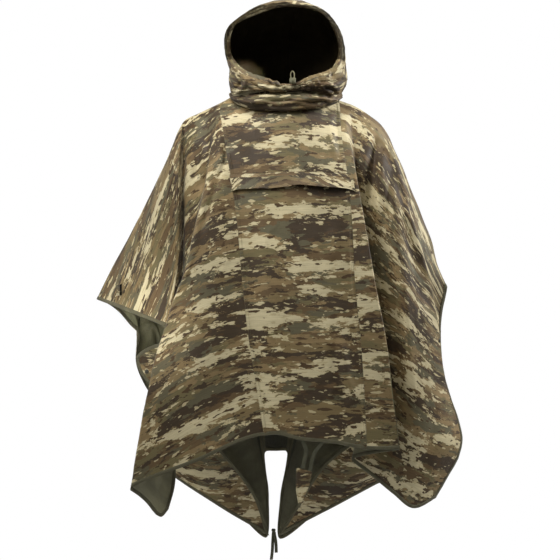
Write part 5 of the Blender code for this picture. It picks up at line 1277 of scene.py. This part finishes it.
rim = ring_loft("hood_rim", rings, [CAMO_RIM_SHADE, CAMO_HOOD_L], uv.reshape(-1, 2), closed=False, caps=True)
# painted shade: the casing's faces above z 0.112 take the darkened print, those below the hood's own print
for face in rim.data.polygons:
    face.material_index = 0 if face.center.z > 0.112 else 1
ready(rim, "camouflage_cloth", "hood_rim_casing")
p, n = hood_at(casing_around, [0.90])
closed = lambda x: np.concatenate([x, x[:1]])
stitch_row(closed(p[0] + n[0] * 0.0010), closed(n[0]), lift=0.0)
for line_at in (0.0, 6.0):
    for off in (0.025, -0.025):
        levels = np.linspace(1.05, 3.9, 80)
        p, n = hood_at([line_at + off], levels, CLOTH / 2)
        stitch_row(p[:, 0], n[:, 0])
p, n = hood_at(casing_around, [7.55], CLOTH / 2)
stitch_row(closed(p[0]), closed(n[0]))
sew("hood_stitches")

# the hood's two halves are joined in a flat seam over the crown and under the chin
for name, line_at in (("hood_crown_seam", 6.0), ("hood_chin_seam", 0.0)):
    p, n = hood_at(line_at + np.array((-0.045, -0.035, 0.0, 0.035, 0.045)), np.linspace(0.95, 3.99, 90), 0.0)
    rise = np.array((0.0001, 0.0006, 0.0007, 0.0006, 0.0001))
    p = p + n * rise[None, :, None]
    cut = np.stack(np.meshgrid(arc_length(p[40]), -arc_length(p[:, 2])), axis=-1) + 0.31
    seam = shell(name, p, n, 0.0006, cut, CAMO_HOOD_R, HOOD_INSIDE_PAINTED_SHADE)
    ready(seam, "camouflage_cloth")


# ---- chest pocket flap: (fold number, level at the seam, level at the lower edge, lift of the lower edge mm) ----
POCKET_FLAP = (
    (8.04, 0.293, 0.334, 3), (8.40, 0.290, 0.329, 6), (8.73, 0.288, 0.3255, 6), (9.40, 0.286, 0.3240, 4), (9.87, 0.285, 0.3215, 5),
    (10.21, 0.284, 0.3165, 9), (10.73, 0.283, 0.3170, 12), (11.36, 0.284, 0.3225, 11), (11.79, 0.286, 0.3265, 8), (12.20, 0.290, 0.331, 5), (12.50, 0.293, 0.3345, 4),
)
flap = np.array(POCKET_FLAP)
fp, fd = smooth_line(flap)
flap = on_line(fp, fd, np.linspace(0, len(flap) - 1, int(150 * FINE)))
share = np.concatenate([np.linspace(0, 0.9, 16), (0.94, 0.97, 1.0)])[:, None]
level = flap[:, 1] + (flap[:, 2] - flap[:, 1]) * share
lift = 0.0026 + flap[:, 3] * MM * share**1.5
base, normal = cloth(front, np.broadcast_to(flap[:, 0], level.shape), level)
soft = 0.0007 * noise(flap[:, 0] * 5, share * 1.2, 51) * share
smooth_n = normal.mean(axis=0, keepdims=True)
smooth_n = smooth_n / np.linalg.norm(smooth_n, axis=-1, keepdims=True)
p = base + smooth_n * (lift + soft)[..., None]
hem_bulge = np.where(share > 0.72, 0.0011, 0.0) * np.ones(level.shape)
cut = front.cut(np.broadcast_to(flap[:, 0], level.shape), level)
pocket_flap = shell("pocket_flap_cloth", p, np.broadcast_to(smooth_n, p.shape), CLOTH * 1.2 + hem_bulge, cut + 0.13, CAMO_TRIM, CAMO_TRIM)
ready(pocket_flap, "camouflage_cloth", "pocket_flap")
for row in (1, -4):
    stitch_row(p[row], np.broadcast_to(smooth_n[0], p[row].shape), lift=CLOTH * 0.6 + (0.0006 if row < 0 else 0.0))
# the turned strip that sews the flap on, above it
strip_level = flap[:, 1][None, :] + np.array((-0.010, -0.008, -0.001, 0.002))[:, None]
strip_a = np.broadcast_to(flap[:, 0], strip_level.shape)
q, qn = cloth(front, strip_a, strip_level, np.array((0.0006, 0.0012, 0.0026, 0.0030))[:, None])
ready(shell("pocket_flap_strip", q, qn, CLOTH, front.cut(strip_a, strip_level) + 0.02, CAMO_CENTRE, INSIDE), "camouflage_cloth")
stitch_row(q[1] * 0.6 + q[2] * 0.4, qn[1], lift=CLOTH * 0.6)
sew("pocket_stitches")


# ---- cuff tab, sewn by one side ----
def lifted(half, a, t, lift):
    p, n = cloth(half, np.array([a]), np.array([t]), lift)
    return p[0], n[0]


def patch(half, at, size, turn, lifts, steps):
    """A rectangle of cloth: rows of points, with its sides' and middle's lifts, and its normal."""
    middle, normal = lifted(half, *at, 0.0)
    side = lifted(half, at[0] + 0.01, at[1], 0.0)[0] - lifted(half, at[0] - 0.01, at[1], 0.0)[0]
    down = np.array((math.sin(turn), 0, -math.cos(turn)))
    down = down - normal * (down @ normal)
    down /= np.linalg.norm(down)
    right = np.cross(down, normal)
    right *= np.sign(right[0])
    u, v = np.linspace(-0.5, 0.5, steps[0]), np.linspace(-0.5, 0.5, steps[1])
    rise = np.interp(u, (-0.5, 0.0, 0.5), lifts)
    bow = 0.0007 * np.cos(v * math.pi)
    grid = middle + right * (u * size[0])[None, :, None] + down * (v * size[1])[:, None, None] + normal * (rise[None, :] + bow[:, None])[..., None]
    return grid, np.broadcast_to(normal, grid.shape), right


tab, tab_n, tab_right = patch(front, (0.20, 0.124), (0.022, 0.030), math.radians(8), (0.0032, 0.0036, 0.0078), (24, 30))
uv = np.stack(np.meshgrid(np.linspace(0, 0.022, 24), np.linspace(0.03, 0, 30)), axis=-1)
thick = 0.0011 + 0.0005 * (np.abs(np.linspace(-1, 1, 30))[:, None] > 0.8) * np.ones((30, 24))
tab_obj = shell("cuff_tab_cloth", tab, tab_n, thick, uv + 0.4, CAMO_TAB, CAMO_TAB)
tab_obj.data.materials.append(CAMO_TAB_SHADOW)
lean = (tab[:, -1] - tab[:, 0]).mean(0)
lean /= np.linalg.norm(lean)
# painted shadow: the tab's far side, past 12.5 mm from its sewn side, takes the near-black print
for face in tab_obj.data.polygons:
    if float(np.dot(np.array(face.center) - tab[:, 0].mean(0), lean)) > 0.0125:
        face.material_index = 2
ready(tab_obj, "camouflage_cloth", "cuff_tab")
for row in (tab[:, 2], tab[:, 5]):
    stitch_row(row, np.broadcast_to(tab_n[0, 0], row.shape), lift=0.0007)
sew("cuff_tab_stitches")


# ---- press studs: a domed cap with a rolled rim and a dimple ----
def turned(name, profile, at, normal, mats, segments=40):
    """A piece turned about its axis from (radius, height) pairs in mm, standing at a point along a normal."""
    normal = np.asarray(normal, float) / np.linalg.norm(normal)
    other = np.cross(normal, (0.0, 0.0, 1.0) if abs(normal[2]) < 0.9 else (1.0, 0.0, 0.0))
    other /= np.linalg.norm(other)
    third = np.cross(normal, other)
    turn = np.arange(segments) * 2 * math.pi / segments
    rings = [at + normal * h * MM + (np.cos(turn)[:, None] * other + np.sin(turn)[:, None] * third) * r * MM for r, h in profile]
    return ring_loft(name, rings, mats, closed=False, caps=True)


STUD = ((5.9, 0.0), (6.0, 0.25), (6.0, 0.8), (5.8, 1.2), (5.4, 1.45), (5.0, 1.5), (4.7, 1.35), (4.5, 1.15), (4.2, 1.15), (3.9, 1.35), (3.2, 1.7), (2.2, 1.95), (1.2, 2.0), (0.9, 1.95), (0.7, 1.7), (0.3, 1.65))
for name, half, a, t in (
    ("right_cuff_front_snap", front, 0.62, 0.745), ("right_cuff_back_snap", back, 0.30, 0.36),
    ("left_cuff_front_snap", front, 17.55, 0.56), ("left_cuff_back_snap", back, 13.55, 0.33),
):
    at, normal = lifted(half, a, t, CLOTH / 2 + 0.0001)
    ready(turned(name + "_stud", STUD, at, normal, [SNAP_MAT]), "toggle_plastic", name)
    at, normal = lifted(half, a, t, -CLOTH / 2 - 0.0001)
    ready(turned(name + "_socket", ((5.6, 0), (5.6, 0.5), (5.2, 0.9), (3.6, 1.0), (3.2, 1.5), (2.6, 1.6), (1.4, 1.1), (0.3, 1.0)), at, -normal, [SNAP_MAT]), "toggle_plastic")


# ---- cord lock, drawcord loop and their tab ----
def rounded_block(name, size, at, turn, bevel, mats, levels=1):
    bm = bmesh.new()
    bmesh.ops.create_cube(bm, size=1.0)
    bmesh.ops.scale(bm, vec=size, verts=bm.verts)
    mesh = bpy.data.meshes.new(name)
    bm.to_mesh(mesh)
    bm.free()
    obj = bpy.data.objects.new(name, mesh)
    for m in mats:
        mesh.materials.append(m)
    bpy.context.scene.collection.objects.link(obj)
    obj.location, obj.rotation_euler = at, turn
    edge = obj.modifiers.new("edges", "BEVEL")
    edge.width, edge.segments = bevel, 4
    mesh.shade_smooth()
    return obj


def round_cord(name, points, radius, material, sides=14):
    """A round cord along points, with its UV along it in metres and round it."""
    points = np.asarray(points, float)
    way = np.gradient(points, axis=0)
    way /= np.linalg.norm(way, axis=1, keepdims=True)
    up = np.cross(way[0], (0.3, 0.9, 0.1))
    up /= np.linalg.norm(up)
    rings, uv = [], []
    run = arc_length(points)
    turn = np.arange(sides) * 2 * math.pi / sides
    for k, p in enumerate(points):
        up = up - way[k] * (up @ way[k])
        up /= np.linalg.norm(up)
        other = np.cross(way[k], up)
        rings.append(p + radius * (np.cos(turn)[:, None] * up + np.sin(turn)[:, None] * other))
        uv.append(np.stack([np.full(sides, run[k]), turn / (2 * math.pi)], axis=-1))
    return ring_loft(name, rings, [material], np.array(uv).reshape(-1, 2), closed=False, caps=True)


def through(points, count):
    p, d = smooth_line(np.asarray(points, float) * MM)
    return on_line(p, d, np.linspace(0, len(points) - 1, count))


LOCK_AT, LOCK_SIZE = np.array((17, -153.5, 44)) * MM, (0.017, 0.010, 0.015)
lean = (math.radians(-8), 0, 0)
lock = rounded_block("cord_lock_body", LOCK_SIZE, LOCK_AT, lean, 0.0024, [PLASTIC])
ready(lock, "toggle_plastic", "cord_lock")
button_at = LOCK_AT + np.array((0, -0.0052, -0.001))
button = turned("cord_lock_button", ((3.6, 0.0), (3.6, 0.9), (3.3, 1.3), (2.4, 1.5), (0.3, 1.5)), button_at, (0, -1, -0.14), [PLASTIC])
ready(button, "toggle_plastic")
foot = LOCK_AT[2] / MM + LOCK_SIZE[2] / MM / 2 + 1.2
loop_path = ((12.6, -154.0, foot - 2.4), (12.6, -154.0, foot), (11.6, -153.5, foot + 7), (13.4, -153.0, foot + 14), (17, -152.6, foot + 17), (20.4, -153.0, foot + 13), (21.8, -153.6, foot + 6), (21.2, -154.0, foot), (21.2, -154.0, foot - 2.4))
loop_points = through(loop_path, 64)
drawcord = ready(round_cord("drawcord_bight", loop_points, 0.0015, CORD_MAT), "olive_cord", "drawcord_loop")

tab_p, tab_n = hood_at(np.linspace(0.17, -0.16, 14), np.linspace(1.15, 2.6, 20), 0.0)
tab_p = tab_p + tab_n * 0.0024
cut = np.stack(np.meshgrid(arc_length(tab_p[8]), -arc_length(tab_p[:, 6])), axis=-1)
ready(shell("cord_lock_tab_cloth", tab_p, tab_n, 0.0016, cut + 0.2, CAMO_TRIM, CAMO_TRIM), "camouflage_cloth", "cord_lock_tab")


# ---- tapes, the hanging tab and the tie ----
def flat_tape(name, points, width, wall, across, material, waves=0.0):
    """A flat tape along a path with rounded selvedges. Its UV is along and across it, m."""
    p = np.asarray(points, float)
    way = np.gradient(p, axis=0)
    way /= np.linalg.norm(way, axis=1, keepdims=True)
    across = np.broadcast_to(np.asarray(across, float), p.shape)
    side = across - (across * way).sum(1, keepdims=True) * way
    side /= np.linalg.norm(side, axis=1, keepdims=True)
    up = np.cross(way, side)
    section = ((-0.5, 0.0), (-0.47, 0.42), (-0.40, 0.5), (-0.2, 0.5), (0.0, 0.5), (0.2, 0.5), (0.40, 0.5), (0.47, 0.42), (0.5, 0.0), (0.47, -0.42), (0.40, -0.5), (0.2, -0.5), (0.0, -0.5), (-0.2, -0.5), (-0.40, -0.5), (-0.47, -0.42))
    rings, uv = [], []
    run = arc_length(p)
    for k in range(len(p)):
        bend = waves * math.sin(run[k] * 70)
        rings.append([p[k] + side[k] * s * width + up[k] * (h * wall + bend * (s * s - 0.1)) for s, h in section])
        uv.append([(run[k], s * width) for s, h in section])
    return ring_loft(name, rings, [material], np.array(uv).reshape(-1, 2), closed=False, caps=True)


HANG_WIDTH, HANG_WALL = 0.010, 0.0015
TAB_OUTLINE = ((27, -986), (69, -997), (60, -1036), (34, -1095), (25, -1044))
TAB_Y = -203
inside_lift = 0.0018 / 2 + 0.0024 + HANG_WALL / 2
for name, a, path in (
    ("hanging_tape_right", 10.15, ((52, -210, -939), (48, -207, -962), (43, TAB_Y, -988.6))),
    ("hanging_tape_left", 10.66, ((75, -211, -943), (68, -207, -966), (63, TAB_Y, -993.8))),
):
    on_cloth = []
    for t, extra in ((0.968, 0.0), (0.984, 0.0001), (1.0, 0.001)):
        base, n = front.points(np.array([a]), np.array([t]))[0], front.normals(np.array([a]), np.array([t]))[0]
        on_cloth.append((base - n * (inside_lift + extra)) / MM)
    points = through(on_cloth + [np.array(q, float) for q in path], 60)
    piece = ready(flat_tape(name + "_webbing", points, HANG_WIDTH, HANG_WALL, (1, 0, 0.05), WEBBING, 0.001), "olive_tape", name)

# the pointed tab: two layers of cloth, a little puffed, with a turned edge
outline = np.array(TAB_OUTLINE, float)
centre = outline.mean(axis=0)
dense = []
for k in range(len(outline)):
    a, b = outline[k], outline[(k + 1) % len(outline)]
    dense += [a + (b - a) * s for s in np.linspace(0, 1, 16)[:-1]]
dense = np.array(dense)
for _ in range(2):
    dense = dense * 0.6 + np.roll(dense, 1, axis=0) * 0.2 + np.roll(dense, -1, axis=0) * 0.2
rings, uv = [], []
for share, depth in ((1.0, 0.0), (0.985, 0.7), (0.95, 1.15), (0.90, 1.3), (0.84, 1.05), (0.6, 1.3), (0.3, 1.5), (0.04, 1.55)):
    for sign in (1, -1):
        if share == 1.0 and sign == -1:
            continue
        q = centre + (dense - centre) * share
        rings.append((sign, share, np.stack([q[:, 0] * MM, TAB_Y * MM - sign * depth * MM * np.ones(len(q)), q[:, 1] * MM], axis=1), q))
front_rings = [r for r in rings if r[0] == 1][::-1]
back_rings = [r for r in rings if r[0] == -1]
order = front_rings + back_rings
tab_obj = ring_loft("hanging_tab_cloth", [r[2] for r in order], [CAMO_TRIM], np.concatenate([r[3] for r in order]) * MM * 1.0, closed=False, caps=True)
ready(tab_obj, "camouflage_cloth", "hanging_tab")
line = np.stack([(centre + (dense - centre) * 0.84)[:, 0] * MM, np.full(len(dense), TAB_Y * MM - 0.0011), (centre + (dense - centre) * 0.84)[:, 1] * MM], axis=1)
stitch_row(closed(line), np.broadcast_to((0.0, -1.0, 0.0), closed(line).shape), lift=0.0)
sew("hanging_tab_stitches")

# the tie: an overhand knot pulled tight, and its two ends
KNOT_AT = np.array((-35.5, 128, -1216)) * MM
s = np.linspace(0, 2 * math.pi, 150)[:-1]
knot_path = np.stack([np.sin(s) + 2 * np.sin(2 * s), np.sin(3 * s) * 1.3, np.cos(s) - 2 * np.cos(2 * s)], axis=1) * np.array((1.45, 1.5, 1.5)) * MM
knot_path = KNOT_AT + knot_path
way = np.roll(knot_path, -1, axis=0) - np.roll(knot_path, 1, axis=0)
way /= np.linalg.norm(way, axis=1, keepdims=True)
radial = knot_path - KNOT_AT
radial = radial - (radial * way).sum(1, keepdims=True) * way
radial /= np.linalg.norm(radial, axis=1, keepdims=True)
side = np.cross(way, radial)
turn = np.arange(12) * 2 * math.pi / 12
rings = knot_path[:, None] + 0.0034 * np.cos(turn)[None, :, None] * side[:, None] + 0.0020 * np.sin(turn)[None, :, None] * radial[:, None]
run = arc_length(knot_path)
uv = np.stack(np.broadcast_arrays(run[:, None], (np.cos(turn) * 0.004)[None, :]), axis=-1)
knot = ready(ring_loft("tie_knot", rings, [WEBBING], uv.reshape(-1, 2)), "olive_tape", "back_tie_knot")
for name, path in (
    ("back_tie_end_right", ((-36.0, 128.5, -1219.5), (-36.5, 129, -1225.5), (-38, 130, -1250), (-39, 131, -1275), (-42, 132, -1302))),
    ("back_tie_end_left", ((-33.6, 126, -1219.5), (-33.0, 125.5, -1225.5), (-29.5, 124, -1245), (-28, 123, -1262), (-27.5, 122, -1279))),
):
    points = through(path, 60)
    piece = ready(flat_tape(name + "_webbing", points, 0.010, 0.0014, (1, 0.5, 0), WEBBING, 0.002), "olive_tape", name)

# ---- floor, light ----
floor_mat = bpy.data.materials.new("pale_floor")
floor_mat.use_nodes = True
floor_shader = floor_mat.node_tree.nodes["Principled BSDF"]
floor_shader.inputs["Base Color"].default_value = (0.93, 0.93, 0.93, 1)
floor_shader.inputs["Roughness"].default_value = 0.9
floor_shader.inputs["Specular IOR Level"].default_value = 0.1
floor = mesh_object("floor", np.array([(0.9 * math.cos(k * math.pi / 48), 0.9 * math.sin(k * math.pi / 48), -1.48) for k in range(96)]), [tuple(range(96))], [floor_mat], smooth=False)

world = bpy.data.worlds.new("studio")
bpy.context.scene.world = world
world.use_nodes = True
sky = world.node_tree.nodes["Background"]
sky.inputs["Color"].default_value = (1, 1, 1, 1)
sky.inputs["Strength"].default_value = 0.11
seen = world.node_tree.nodes.new("ShaderNodeBackground")
seen.inputs["Color"].default_value = (1, 1, 1, 1)
seen.inputs["Strength"].default_value = 1.0
path = world.node_tree.nodes.new("ShaderNodeLightPath")
both = world.node_tree.nodes.new("ShaderNodeMixShader")
world.node_tree.links.new(path.outputs["Is Camera Ray"], both.inputs[0])
world.node_tree.links.new(sky.outputs[0], both.inputs[1])
world.node_tree.links.new(seen.outputs[0], both.inputs[2])
world.node_tree.links.new(both.outputs[0], world.node_tree.nodes["World Output"].inputs[0])

# (name, at, aimed at, width, height, watts)
LIGHTS = (
    ("key", (-1.75, -2.1, 1.4), (0, 0, -0.3), 0.7, 0.9, 42, 180),
    ("fill", (-1.2, -3.2, 0.2), (0, 0, -0.4), 1.6, 1.6, 4, 180),
    ("top", (-0.35, -0.8, 0.95), (-0.05, 0, -0.2), 0.7, 0.5, 24, 180),
    ("left_rim", (-2.6, 0.6, -0.1), (0, 0, -0.5), 0.5, 1.6, 18, 180),
    ("right_rim", (2.4, 0.1, 1.0), (0.3, 0, -0.2), 0.6, 0.8, 112, 180),
    ("cuff", (-0.46, -0.95, -0.72), (-0.40, 0.05, -0.57), 0.15, 0.15, 0.26, 30),
    ("hood", (0.03, -0.38, 0.15), (-0.098, 0.06, 0.097), 0.03, 0.02, 0.13, 12),
)
for name, at, aim, width, height, watts, spread in LIGHTS:
    light = bpy.data.lights.new(name, "AREA")
    light.spread = math.radians(spread)
    light.shape, light.size, light.size_y, light.energy = "RECTANGLE", width, height, watts
    lamp = bpy.data.objects.new(name, light)
    bpy.context.scene.collection.objects.link(lamp)
    lamp.location = at
    lamp.visible_camera = False
    lamp.rotation_euler = (Vector(aim) - Vector(at)).to_track_quat("-Z", "Y").to_euler()
bpy.context.scene.view_settings.view_transform = "Standard"
